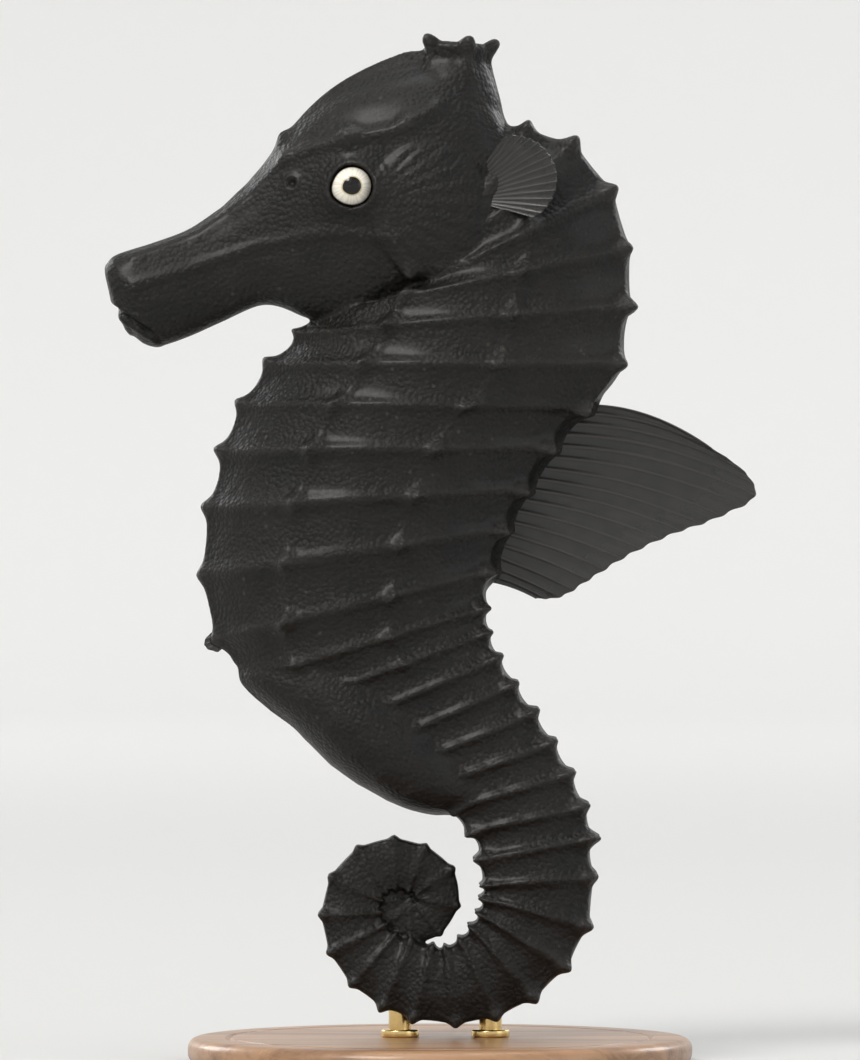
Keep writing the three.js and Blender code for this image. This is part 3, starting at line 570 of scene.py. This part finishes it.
def set_mode(name):
    bpy.ops.object.mode_set(mode=name)


def choose(obj, kind, wanted):
    """Goes into edit mode with only the wanted items selected."""
    select_only(obj)
    set_mode("EDIT")
    bpy.ops.mesh.select_mode(type=kind)
    bpy.ops.mesh.select_all(action="DESELECT")
    set_mode("OBJECT")
    for item in {"VERT": obj.data.vertices, "EDGE": obj.data.edges, "FACE": obj.data.polygons}[kind]:
        item.select = wanted(item)
    set_mode("EDIT")


def apply_modifier(obj, kind, **settings):
    modifier = obj.modifiers.new(kind, kind)
    for key, value in settings.items():
        setattr(modifier, key, value)
    select_only(obj)
    bpy.ops.object.modifier_apply(modifier=kind)


def round_edges(obj, width, segments):
    apply_modifier(obj, "BEVEL", width=width, segments=segments, limit_method="ANGLE",
                   angle_limit=radians(60))


def add(primitive, **settings):
    """Adds a primitive with nothing else selected, and applies its place and turn."""
    bpy.ops.object.select_all(action="DESELECT")
    primitive(**settings)
    bpy.ops.object.transform_apply(location=True, rotation=True, scale=True)
    return bpy.context.object


def add_cylinder(radius, low, high, middle=(0, 0), **settings):
    """A cylinder that stands between two heights."""
    return add(bpy.ops.mesh.primitive_cylinder_add, radius=radius, depth=high - low,
               location=(*middle, (low + high) / 2), **settings)


def set_attributes(obj, **values):
    """Keeps a number for each vertex, for the finish."""
    for name, numbers in values.items():
        attribute = obj.data.attributes.new(name, "FLOAT", "POINT")
        attribute.data.foreach_set("value", numbers.astype(np.float32))


def finish_piece(obj, name, material, nodes):
    """Names a piece, gives it its finish and puts it in place of the CAD nodes."""
    obj.name = obj.data.name = name
    obj.data.materials.append(material)
    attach(obj, "root")
    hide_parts(*nodes)


# ---- materials
class Value:
    """A shader socket. An expression on it adds its Math nodes."""

    def __init__(self, finish, socket):
        self.finish, self.socket = finish, socket

    def math(self, operation, other, swapped=False):
        first, second = (other, self) if swapped else (self, other)
        return self.finish.node("ShaderNodeMath", {0: first, 1: second}, operation=operation)

    __add__ = __radd__ = partialmethod(math, "ADD")
    __mul__ = __rmul__ = partialmethod(math, "MULTIPLY")
    __sub__ = partialmethod(math, "SUBTRACT")
    __rsub__ = partialmethod(math, "SUBTRACT", swapped=True)

    def step(self, low, high):
        inputs = {"Value": self, "From Min": low, "From Max": high}
        return self.finish.node("ShaderNodeMapRange", inputs, interpolation_type="SMOOTHSTEP")


class Finish:
    """A material while it is being built."""

    def __init__(self, name):
        self.material = bpy.data.materials.new(name)
        self.material.use_nodes = True
        self.tree = self.material.node_tree
        self.tree.nodes.clear()

    def node(self, kind, inputs, output=0, **settings):
        """Adds a node and returns one of its outputs."""
        made = self.tree.nodes.new(kind)
        for key, value in settings.items():
            setattr(made, key, value)
        for key, value in inputs.items():
            if isinstance(value, Value):
                self.tree.links.new(value.socket, made.inputs[key])
            elif value is not None:
                made.inputs[key].default_value = value
        return Value(self, made.outputs[output]) if made.outputs else None

    def place(self, scale=(1, 1, 1), turn=(0, 0, 0)):
        """Object coordinates, turned and scaled."""
        coords = self.node("ShaderNodeTexCoord", {}, "Object")
        return self.node("ShaderNodeMapping", {"Vector": coords, "Scale": scale, "Rotation": turn})

    def noise(self, vector, scale, detail=2, roughness=0.5, distortion=0):
        return self.node("ShaderNodeTexNoise", {"Vector": vector, "Scale": scale, "Detail": detail,
                                                "Roughness": roughness, "Distortion": distortion})

    def cells(self, vector, scale):
        return self.node("ShaderNodeTexVoronoi", {"Vector": vector, "Scale": scale})

    def attribute(self, name):
        return self.node("ShaderNodeAttribute", {}, "Fac", attribute_name=name)

    def mix(self, share, first, second):
        """Colour between first and second, which may be colours or sockets."""
        first, second = (c if isinstance(c, Value) else (*c, 1) for c in (first, second))
        return self.node("ShaderNodeMix", {0: share, 6: first, 7: second}, 2, data_type="RGBA")

    def bump(self, height, distance, strength, normal=None):
        return self.node("ShaderNodeBump", {"Height": height, "Distance": distance, "Strength": strength,
                                            "Normal": normal})

    def shade(self, **sockets):
        """Ends the material with a Principled shader."""
        inputs = {key.replace("_", " "): value for key, value in sockets.items()}
        self.node("ShaderNodeOutputMaterial", {"Surface": self.node("ShaderNodeBsdfPrincipled", inputs)})
        return self.material


def skin_finish(look):
    f = Finish("seahorse_skin")
    place = f.place()
    raised = f.attribute("raised")
    mottle = f.noise(place, 260, 3, 0.55)
    broad = f.noise(place, 70, 2)
    grain = f.noise(place, 3200, 2, 0.6)
    pebbles = f.cells(place, 1900)
    freckle = f.cells(place, 560)
    shade = f.mix((mottle * 0.7 + broad * 0.6).step(0.45, 0.85), look.skin_dark, look.skin_mid)
    # painted highlight: the raised rings, ridges, knobs and spines are made paler by their height, which
    # leaves the grooves between them darker
    shade = f.mix((raised * 1.1 + mottle * 0.25).step(0.35, 1.2) * 0.8, shade, look.skin_crest_highlight)
    dots = (1 - freckle.step(0.08, 0.16)) * broad.step(0.5, 0.62) * 0.3
    shade = f.mix(dots, shade, look.skin_speckle)
    rough = 0.4 + 0.16 * mottle + 0.1 * grain - 0.06 * raised
    normal = f.bump(grain * 0.35 - pebbles * 0.9, 0.00022, 0.8)
    normal = f.bump(mottle, 0.0006, 0.4, normal)
    return f.shade(Base_Color=shade, Roughness=rough, Normal=normal, Specular_IOR_Level=0.2,
                   Coat_Weight=0.15, Coat_Roughness=0.25)


def fin_finish(look):
    f = Finish("seahorse_fin")
    ray = f.attribute("ray")
    reach = f.attribute("reach")
    place = f.place()
    mottle = f.noise(place, 500, 3)
    web = f.mix(mottle.step(0.35, 0.7), look.fin_dark, look.fin_mid)
    colour = f.mix(ray.step(0.2, 0.8), web, look.fin_ray)
    alpha = 1 - (1 - ray.step(0.1, 0.6)) * reach.step(0.3, 1.0) * 0.12
    normal = f.bump(f.noise(place, 1800, 2), 0.00006, 0.5)
    return f.shade(Base_Color=colour, Roughness=0.36 + 0.15 * mottle, Alpha=alpha, Normal=normal,
                   Coat_Weight=0.3, Coat_Roughness=0.15)


def eye_finish(look):
    f = Finish("seahorse_eye")
    amber, rim, pupil = (0.5, 0.42, 0.26), (0.02, 0.017, 0.014), (0.002, 0.002, 0.002)
    iris = f.attribute("iris")  # 0 in its middle, 1 at its rim
    streak = f.attribute("streak")
    colour = f.mix(streak.step(0.3, 0.8) * 0.35, look.iris, amber)
    colour = f.mix(iris.step(0.9, 0.98), colour, rim)
    colour = f.mix(1 - iris.step(0.46, 0.54), colour, amber)
    colour = f.mix(1 - iris.step(0.42, 0.46), colour, pupil)
    return f.shade(Base_Color=colour, Roughness=0.25, Specular_IOR_Level=0.1,
                   Coat_Weight=0.6, Coat_Roughness=0.03)


def wood_finish(look):
    f = Finish("stand_wood")
    place = f.place(scale=(1, 9, 9), turn=(0.05, 0.03, 0.0))
    warp = f.noise(place, 30, 3, 0.6, 0.6)
    rings = f.noise(f.place(scale=(0.35, 5, 8)), 60, 4, 0.62, 0.4)
    fibre = f.noise(f.place(scale=(1, 22, 22)), 160, 3, 0.7)
    shade = f.mix((rings * 0.8 + warp * 0.3).step(0.42, 0.78), look.wood_light, look.wood_dark)
    shade = f.mix(fibre.step(0.52, 0.75) * 0.45, shade, look.wood_dark)
    rough = 0.34 + 0.2 * fibre
    return f.shade(Base_Color=shade, Roughness=rough, Normal=f.bump(fibre, 0.00008, 0.4),
                   Coat_Weight=0.35, Coat_Roughness=0.2)


def brass_finish(look):
    f = Finish("stand_brass")
    brushed = f.noise(f.place(scale=(1, 1, 12)), 900, 2)
    spots = f.noise(f.place(), 900, 3)
    colour = f.mix(spots.step(0.5, 0.75) * 0.5, look.brass, (0.42, 0.27, 0.1))
    return f.shade(Base_Color=colour, Metallic=1.0, Roughness=0.18 + 0.12 * brushed,
                   Normal=f.bump(brushed, 0.00001, 0.3))


def paper_finish():
    """Pale paper, darker in the middle, where the lamps are closer."""
    f = Finish("studio_paper")
    away = f.node("ShaderNodeVectorMath", {0: f.place(scale=(1, 1, 0))}, "Value", operation="LENGTH")
    grain = f.noise(f.place(), 300, 2)
    shade = f.mix(away.step(0.6, 2.5), (0.5, 0.5, 0.495), (0.83, 0.83, 0.825))
    return f.shade(Base_Color=shade, Roughness=0.85 + 0.1 * grain)


# ---- settings
def length(name, description, default):
    return bpy.props.FloatProperty(name=name, description=description, default=default, unit="LENGTH")


def colour(name, what, default):
    return bpy.props.FloatVectorProperty(name=name, description=f"Colour of {what}", default=default,
                                         subtype="COLOR")


class SeahorseShape(bpy.types.PropertyGroup):
    ring_relief: length("Ring relief", "Height of a bony ring over its grooves", 0.0006)
    ridge_relief: length("Ridge relief", "Height of the lengthwise ridges", 0.00045)
    knob_height: length("Knob height", "Height of the largest knobs", 0.001)
    side_bulge: bpy.props.FloatProperty(
        name="Side bulge", description="How far a ring's flats swell, as a share of their length",
        default=0.08, subtype="FACTOR")
    voxel: length("Skin fineness", "Size of the cells in which the skin's parts are fused", 0.0002)
    skin_triangles: bpy.props.IntProperty(
        name="Skin triangles", description="About how many triangles the skin has", default=192000)
    membrane: length("Fin membrane", "Thickness of a fin between its rays", 0.00011)
    ray: length("Fin ray", "Thickness of a fin ray at its root", 0.00048)


class SeahorseLook(bpy.types.PropertyGroup):
    skin_dark: colour("Dark skin", "the grooves", (0.003, 0.0026, 0.0024))
    skin_mid: colour("Skin", "the plates", (0.0072, 0.0063, 0.0055))
    # the crests' colour is a painted highlight on the raised relief
    skin_crest_highlight: colour("Crests", "the rings, ridges and knobs", (0.019, 0.0178, 0.016))
    skin_speckle: colour("Speckles", "the small pale dots", (0.085, 0.07, 0.052))
    fin_dark: colour("Dark membrane", "the fins' dark clouds", (0.003, 0.0026, 0.0023))
    fin_mid: colour("Membrane", "the fins' membranes", (0.008, 0.007, 0.006))
    fin_ray: colour("Rays", "the fin rays", (0.02, 0.0175, 0.015))
    iris: colour("Iris", "the pale ring of the eye", (0.82, 0.79, 0.70))
    wood_light: colour("Light wood", "the early wood", (0.36, 0.2, 0.1))
    wood_dark: colour("Dark wood", "the late wood", (0.16, 0.075, 0.033))
    brass: colour("Brass", "the rods", (0.72, 0.53, 0.23))


# ---- operators
SEAM_REACH, SEAM_ROUNDS = (0.0007, 0.0023), 26  # where the skin is softened, and how often


class SEAHORSE_OT_skin(bpy.types.Operator):
    """Fuse head, crown, body and pouch into one skin"""

    bl_idname = "seahorse.skin"
    bl_label = "Skin"

    def execute(self, context):
        shape = context.scene.seahorse_shape
        parts = [body_surface(shape), head_surface(), coronet_surface()]
        grids = [points for points, _ in parts]
        obj = skin_of_grids(grids)
        voxel = shape.voxel * 1
        apply_modifier(obj, "REMESH", mode="VOXEL", voxel_size=voxel)
        self.soften_seams(obj, grids)
        share = shape.skin_triangles / (2 * len(obj.data.polygons))
        if share < 1:
            apply_modifier(obj, "DECIMATE", ratio=share)
        self.drop_crumbs(obj)
        self.paint(obj, parts)
        bpy.ops.object.shade_smooth()
        nodes = [n for n in frame["nodes"] if n.startswith("tail_")]
        nodes += ["snout", "lower_jaw", "head", "coronet", "neck", "trunk", "brood_pouch"]
        finish_piece(obj, "skin", skin_finish(context.scene.seahorse_look), nodes)
        return {"FINISHED"}

    def soften_seams(self, obj, grids):
        """Smooths the skin where two of its parts meet."""
        co = coordinates(obj)
        away = np.stack([nearest(grid.reshape(-1, 3)[::3] * MM, co)[1] for grid in grids])
        away.sort(axis=0)
        seam = obj.vertex_groups.new(name="seam")
        share = 1 - ramp(away[1], *SEAM_REACH)
        for level in np.linspace(0.1, 1, 10):
            chosen = np.nonzero(np.abs(share - level) <= 0.05)[0]
            seam.add(chosen.tolist(), float(level), "REPLACE")
        apply_modifier(obj, "SMOOTH", factor=0.8, iterations=SEAM_ROUNDS, vertex_group="seam")
        obj.vertex_groups.clear()

    def drop_crumbs(self, obj):
        """Deletes the crumbs that fusing leaves: all that isn't joined to the crown."""
        crown = int(np.argmax(coordinates(obj)[:, 2]))
        choose(obj, "VERT", lambda vertex: vertex.index == crown)
        bpy.ops.mesh.select_linked()
        bpy.ops.mesh.select_all(action="INVERT")
        bpy.ops.mesh.delete(type="VERT")
        set_mode("OBJECT")

    def paint(self, obj, parts):
        """Keeps how far each spot is raised, for the painted highlight on the crests in its finish."""
        points = np.vstack([points.reshape(-1, 3) for points, _ in parts]) * MM
        raised = np.hstack([raised.ravel() for _, raised in parts])
        set_attributes(obj, raised=raised[nearest(points, coordinates(obj))[0]])


class SEAHORSE_OT_eyes(bpy.types.Operator):
    """Set a glass eye into each socket"""

    bl_idname = "seahorse.eyes"
    bl_label = "Eyes"

    def execute(self, context):
        material = eye_finish(context.scene.seahorse_look)
        for name, side in (("eye_left", 1), ("eye_right", -1)):
            low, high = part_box(name)
            centre = (low + high) / 2
            obj = add(bpy.ops.mesh.primitive_uv_sphere_add, segments=96, ring_count=64,
                      radius=EYE_RADIUS * MM, location=centre, rotation=(pi / 2, 0, 0))
            co = coordinates(obj)
            rel = (co - np.array(centre)) / (EYE_RADIUS * MM)
            out = rel[:, 1] * side
            radius, turn = eye_radius(-(rel @ HEAD_ALONG), rel @ HEAD_UP)
            iris = np.where(out > 0, radius / IRIS_SIZE, 2.0)
            streak = 0.5 + 0.25 * np.cos(23 * turn + 2 * np.sin(5 * turn)) + 0.25 * np.cos(41 * turn + 1.3)
            set_attributes(obj, iris=iris, streak=streak)
            cornea = CORNEA * bump(radius, CORNEA_WIDTH) * (out > 0)
            co = co + rel * (cornea * EYE_RADIUS * MM)[:, None]
            obj.data.vertices.foreach_set("co", co.ravel())
            bpy.ops.object.shade_smooth()
            finish_piece(obj, name.replace("eye", "glass_eye"), material, [name])
        return {"FINISHED"}


# ---- fins
def dorsal_ends(f):
    """Root, tip and bow of its rays, at shares f of the way from the first to the last."""
    middle, up, half_depth, _ = body_line(DORSAL_FROM + (DORSAL_TO - DORSAL_FROM) * f)
    x, z, bow = spline(DORSAL_TIPS, f * (len(DORSAL_TIPS) - 1)).T
    tip = np.stack([x, DORSAL_WAVE * np.sin(f * DORSAL_WAVES * pi), z], 1)
    root = in_plane(middle + up * (half_depth[:, None] - DORSAL_SUNK))
    return root, tip, bow[:, None] * np.array([0, 0, 1])


def fan_shape(f, edge, middle, fullness):
    """Lengths of a fan's rays, as shares of the longest."""
    return edge + middle * np.sin(pi * f) ** fullness


def pectoral_ends(side, f):
    """As above, for the fin behind a gill cover."""
    along, out, up = PECTORAL_ROOT
    c, s = cos(PECTORAL_OUT), sin(PECTORAL_OUT)

    def spot(reach, rise):
        lean = PECTORAL_LEAN * (f - 0.5)
        return in_head(along + reach * c, side * (out + lean + reach * s), up + rise)

    turn = (0.5 - f) * PECTORAL_SPREAD
    reach = PECTORAL_LENGTH * fan_shape(f, *PECTORAL_SHARES)
    rise = (0.5 - f) * PECTORAL_BASE
    root = spot(0 * f - PECTORAL_SUNK, rise)
    tip = spot(reach * np.cos(turn), rise + reach * np.sin(turn) * PECTORAL_FLATNESS)
    return root, tip, 0 * root


def anal_ends(f):
    """As above, for the small fin under the trunk."""
    middle, up, half_depth, _ = body_line([ANAL_AT])
    away, belly = -up[0], (middle - up * half_depth[:, None])[0]
    down = np.array([-away[1], away[0]])

    def spot(reach, drop):
        return in_plane(belly + away * reach[:, None] + down * drop[:, None])

    root = spot(0 * f - ANAL_SUNK, (f - 0.5) * ANAL_ROOT - ANAL_LEAN)
    tip = spot(ANAL_LENGTH * fan_shape(f, *ANAL_SHARES), (f - 0.5) * ANAL_MARGIN)
    return root, tip, 0 * root


def model_fin(name, node, rays, steps, ends, shares):
    """Rays with a web between them: a grid laid along them, thickened from point to point."""
    shape, look = bpy.context.scene.seahorse_shape, bpy.context.scene.seahorse_look
    web, ray = shape.membrane * shares[0], shape.ray * shares[1]
    columns = (rays - 1) * PER_RAY
    obj = add(bpy.ops.mesh.primitive_grid_add, x_subdivisions=columns, y_subdivisions=steps, size=1)
    co = coordinates(obj)
    column = np.rint((co[:, 0] + 0.5) * columns).astype(int)
    row = np.rint((co[:, 1] + 0.5) * steps).astype(int)

    place = np.arange(columns + 1) / PER_RAY  # in rays from the first one
    place = place - CROWDING * np.sin(2 * pi * place) / (2 * pi)
    between = np.sin(pi * place) ** 2
    v = np.linspace(0, 1, steps + 1)[:, None]
    root, tip, bow = ends(place / (rays - 1))
    spacing = norm(np.gradient(tip, place, axis=0), axis=1)
    reach = (v * (1 - NOTCH * spacing * between / norm(tip - root, axis=1)))[..., None]
    points = root + (tip - root) * reach + bow * 4 * reach * (1 - reach)
    points[..., 1] += SLACK * spacing * v * between

    at_ray = np.rint(np.arange(columns + 1) / PER_RAY).astype(int) * PER_RAY
    aside = norm(points - points[:, at_ray], axis=2) * MM
    thick = ray * (1 - RAY_TAPER * v)
    ridge = np.sqrt(np.maximum(0, 1 - (aside / (RAY_WIDTH * thick)) ** 2))
    full = np.maximum(web * (WEB_ROOT - WEB_TAPER * v), thick * ridge) / ray
    obj.data.vertices.foreach_set("co", (points[row, column] * MM).ravel())
    set_attributes(obj, ray=ridge[row, column], reach=(v + 0 * ridge)[row, column])
    group = obj.vertex_groups.new(name="thickness")
    for i, weight in enumerate(full[row, column]):
        group.add([i], float(weight), "REPLACE")
    apply_modifier(obj, "SOLIDIFY", thickness=ray, offset=0, vertex_group="thickness",
                   use_even_offset=False)
    obj.vertex_groups.clear()
    bpy.ops.object.shade_smooth()
    material = bpy.data.materials.get("seahorse_fin") or fin_finish(look)
    finish_piece(obj, name, material, [node])


class SEAHORSE_OT_dorsal_fin(bpy.types.Operator):
    """Spread the large fin on the back over its rays"""

    bl_idname = "seahorse.dorsal_fin"
    bl_label = "Dorsal fin"

    def execute(self, context):
        model_fin("dorsal_sail", "dorsal_fin", DORSAL_RAYS, 90, dorsal_ends, (1, 1))
        return {"FINISHED"}


class SEAHORSE_OT_small_fins(bpy.types.Operator):
    """Spread the fins behind the gill covers and the small fin under the trunk"""

    bl_idname = "seahorse.small_fins"
    bl_label = "Small fins"

    def execute(self, context):
        for name, side in (("left", 1), ("right", -1)):
            model_fin(f"pectoral_fan_{name}", f"pectoral_fin_{name}", PECTORAL_RAYS, 44,
                      partial(pectoral_ends, side), (0.8, 0.7))
        model_fin("anal_fan", "anal_fin", ANAL_RAYS, 24, anal_ends, (0.8, 0.5))
        return {"FINISHED"}


# ---- stand
# The disc's top from its edge: how far in and down each step goes
BASE_INSETS = ((0.0042, 0), (0.0003, 0.0003), (0.0003, 0), (0.0003, -0.0003), (0.004, 0))
ROD_SUNK, ROD_UP = 0.0006, 0.0005  # how far they reach into the disc and coil
COLLAR_SIZE, COLLAR_FROM, COLLAR_TO = 1.7, -0.0003, 0.0006  # share of the rod's radius, heights
SMOOTH_ANGLE = radians(35)
BASE_ROUND, COLLAR_ROUND = (0.0012, 6), (0.00022, 4)  # width and segments


class SEAHORSE_OT_base(bpy.types.Operator):
    """Turn the wooden disc of the stand"""

    bl_idname = "seahorse.base"
    bl_label = "Base"

    def execute(self, context):
        low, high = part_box("stand_base")
        obj = add_cylinder((high.x - low.x) / 2, low.z, high.z, vertices=160, end_fill_type="NGON")
        choose(obj, "FACE", lambda face: face.normal.z > 0.9)
        for inwards, down in BASE_INSETS:
            bpy.ops.mesh.inset(thickness=inwards, depth=-down)
        set_mode("OBJECT")
        round_edges(obj, *BASE_ROUND)
        bpy.ops.object.shade_smooth_by_angle(angle=SMOOTH_ANGLE)
        material = wood_finish(context.scene.seahorse_look)
        finish_piece(obj, "turned_base", material, ["stand_base"])
        return {"FINISHED"}


class SEAHORSE_OT_rods(bpy.types.Operator):
    """Stand the two brass rods under the coil"""

    bl_idname = "seahorse.rods"
    bl_label = "Rods"

    def execute(self, context):
        material = brass_finish(context.scene.seahorse_look)
        for end in ("front", "back"):
            low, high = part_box(f"stand_rod_{end}")
            middle, radius = ((low + high) / 2)[:2], (high.x - low.x) / 2
            obj = add_cylinder(radius, low.z - ROD_SUNK, high.z + ROD_UP, middle, vertices=64)
            collar = add_cylinder(radius * COLLAR_SIZE, low.z + COLLAR_FROM, low.z + COLLAR_TO, middle,
                                  vertices=64)
            round_edges(collar, *COLLAR_ROUND)
            obj.select_set(True)
            context.view_layer.objects.active = obj
            bpy.ops.object.join()
            bpy.ops.object.shade_smooth_by_angle(angle=SMOOTH_ANGLE)
            finish_piece(obj, f"brass_rod_{end}", material, [f"stand_rod_{end}"])
        return {"FINISHED"}


# ---- stage
VIEW_CENTRE = Vector((-1.15, 0, 61.3)) * MM
VIEW_HEIGHT = 121.9 * MM  # what the frame takes in
LENS, SENSOR = 300, 36
LAMPS = (  # name, place, size, watts, tint
    ("key", (-1.0, -1.3, 1.6), 0.8, 34, (1, 0.98, 0.95)),
    ("fill", (1.75, -1.1, 0.65), 1.1, 5, (0.95, 0.98, 1)),
    ("top", (0.1, 0.2, 2.0), 1.1, 12, (1, 1, 1)),
    ("edge_left", (-1.3, 1.4, 0.8), 0.7, 11, (1, 1, 1)),
    ("edge_right", (1.4, 1.3, 1.0), 0.7, 11, (1, 1, 1)),
)
DAYLIGHT = 0.6  # even light from all round
FLOOR_RADIUS, FLOOR_BEND, WALL_HEIGHT = 1.9, 1.0, 1.6  # metres
BEND_STEPS = 12


class SEAHORSE_OT_stage(bpy.types.Operator):
    """Set up the camera, the pale studio and its soft lights"""

    bl_idname = "seahorse.stage"
    bl_label = "Stage"

    def execute(self, context):
        scene = context.scene
        data = bpy.data.cameras.new("camera")
        data.lens, data.sensor_width, data.clip_start, data.clip_end = LENS, SENSOR, 0.05, 20
        camera = bpy.data.objects.new("camera", data)
        camera.location = VIEW_CENTRE + Vector((0, -VIEW_HEIGHT * LENS / SENSOR, 0))
        camera.rotation_euler = (pi / 2, 0, 0)
        scene.collection.objects.link(camera)
        scene.camera = camera
        self.studio(scene)
        for name, place, size, power, tint in LAMPS:
            light = bpy.data.lights.new(name, "AREA")
            light.size, light.energy, light.color = size, power, tint
            obj = bpy.data.objects.new(name, light)
            obj.location = place
            obj.rotation_euler = (VIEW_CENTRE - Vector(place)).to_track_quat("-Z", "Y").to_euler()
            obj.visible_camera = False
            scene.collection.objects.link(obj)
        return {"FINISHED"}

    def studio(self, scene):
        """A floor that curves up into a round wall."""
        floor = add(bpy.ops.mesh.primitive_circle_add, vertices=96, radius=FLOOR_RADIUS, fill_type="NGON")
        floor.name = "studio_floor"
        choose(floor, "EDGE", lambda edge: True)
        turn = np.linspace(0, pi / 2, BEND_STEPS + 1)
        rise = np.diff(FLOOR_BEND * (1 - np.cos(turn)))
        radius = FLOOR_RADIUS + FLOOR_BEND * np.sin(turn)
        for up, wider in zip([*rise, WALL_HEIGHT], [*(radius[1:] / radius[:-1]), 1]):
            bpy.ops.mesh.extrude_edges_move(TRANSFORM_OT_translate={"value": (0, 0, up)})
            bpy.ops.transform.resize(value=(wider, wider, 1), center_override=(0, 0, 0))
        bpy.ops.mesh.select_all(action="SELECT")
        bpy.ops.mesh.normals_make_consistent(inside=True)
        set_mode("OBJECT")
        bpy.ops.object.shade_smooth()
        floor.data.materials.append(paper_finish())
        world = bpy.data.worlds.new("studio_light")
        world.use_nodes = True
        daylight = world.node_tree.nodes["Background"].inputs
        daylight["Color"].default_value = (1, 1, 1, 1)
        daylight["Strength"].default_value = DAYLIGHT
        scene.world = world
        scene.view_settings.view_transform = "Standard"


PIECES = ("skin", "eyes", "dorsal_fin", "small_fins", "base", "rods", "stage")


class SEAHORSE_PT_panel(bpy.types.Panel):
    """The seahorse's sizes, colours and pieces"""

    bl_idname = "SEAHORSE_PT_panel"
    bl_label = "Seahorse"
    bl_space_type = "VIEW_3D"
    bl_region_type = "UI"
    bl_category = "Seahorse"

    def draw(self, context):
        for group in (context.scene.seahorse_shape, context.scene.seahorse_look):
            box = self.layout.box()
            for key in group.__annotations__:
                box.prop(group, key)
        for piece in PIECES:
            self.layout.operator(f"seahorse.{piece}")


CLASSES = (
    SeahorseShape, SeahorseLook, SEAHORSE_OT_skin, SEAHORSE_OT_eyes, SEAHORSE_OT_dorsal_fin,
    SEAHORSE_OT_small_fins, SEAHORSE_OT_base, SEAHORSE_OT_rods, SEAHORSE_OT_stage, SEAHORSE_PT_panel,
)


def register():
    for cls in CLASSES:
        bpy.utils.register_class(cls)
    bpy.types.Scene.seahorse_shape = bpy.props.PointerProperty(type=SeahorseShape)
    bpy.types.Scene.seahorse_look = bpy.props.PointerProperty(type=SeahorseLook)


def unregister():
    del bpy.types.Scene.seahorse_shape, bpy.types.Scene.seahorse_look
    for cls in reversed(CLASSES):
        bpy.utils.unregister_class(cls)


def main():
    register()
    for piece in PIECES:
        getattr(bpy.ops.seahorse, piece)()


if __name__ == "__main__":
    main()
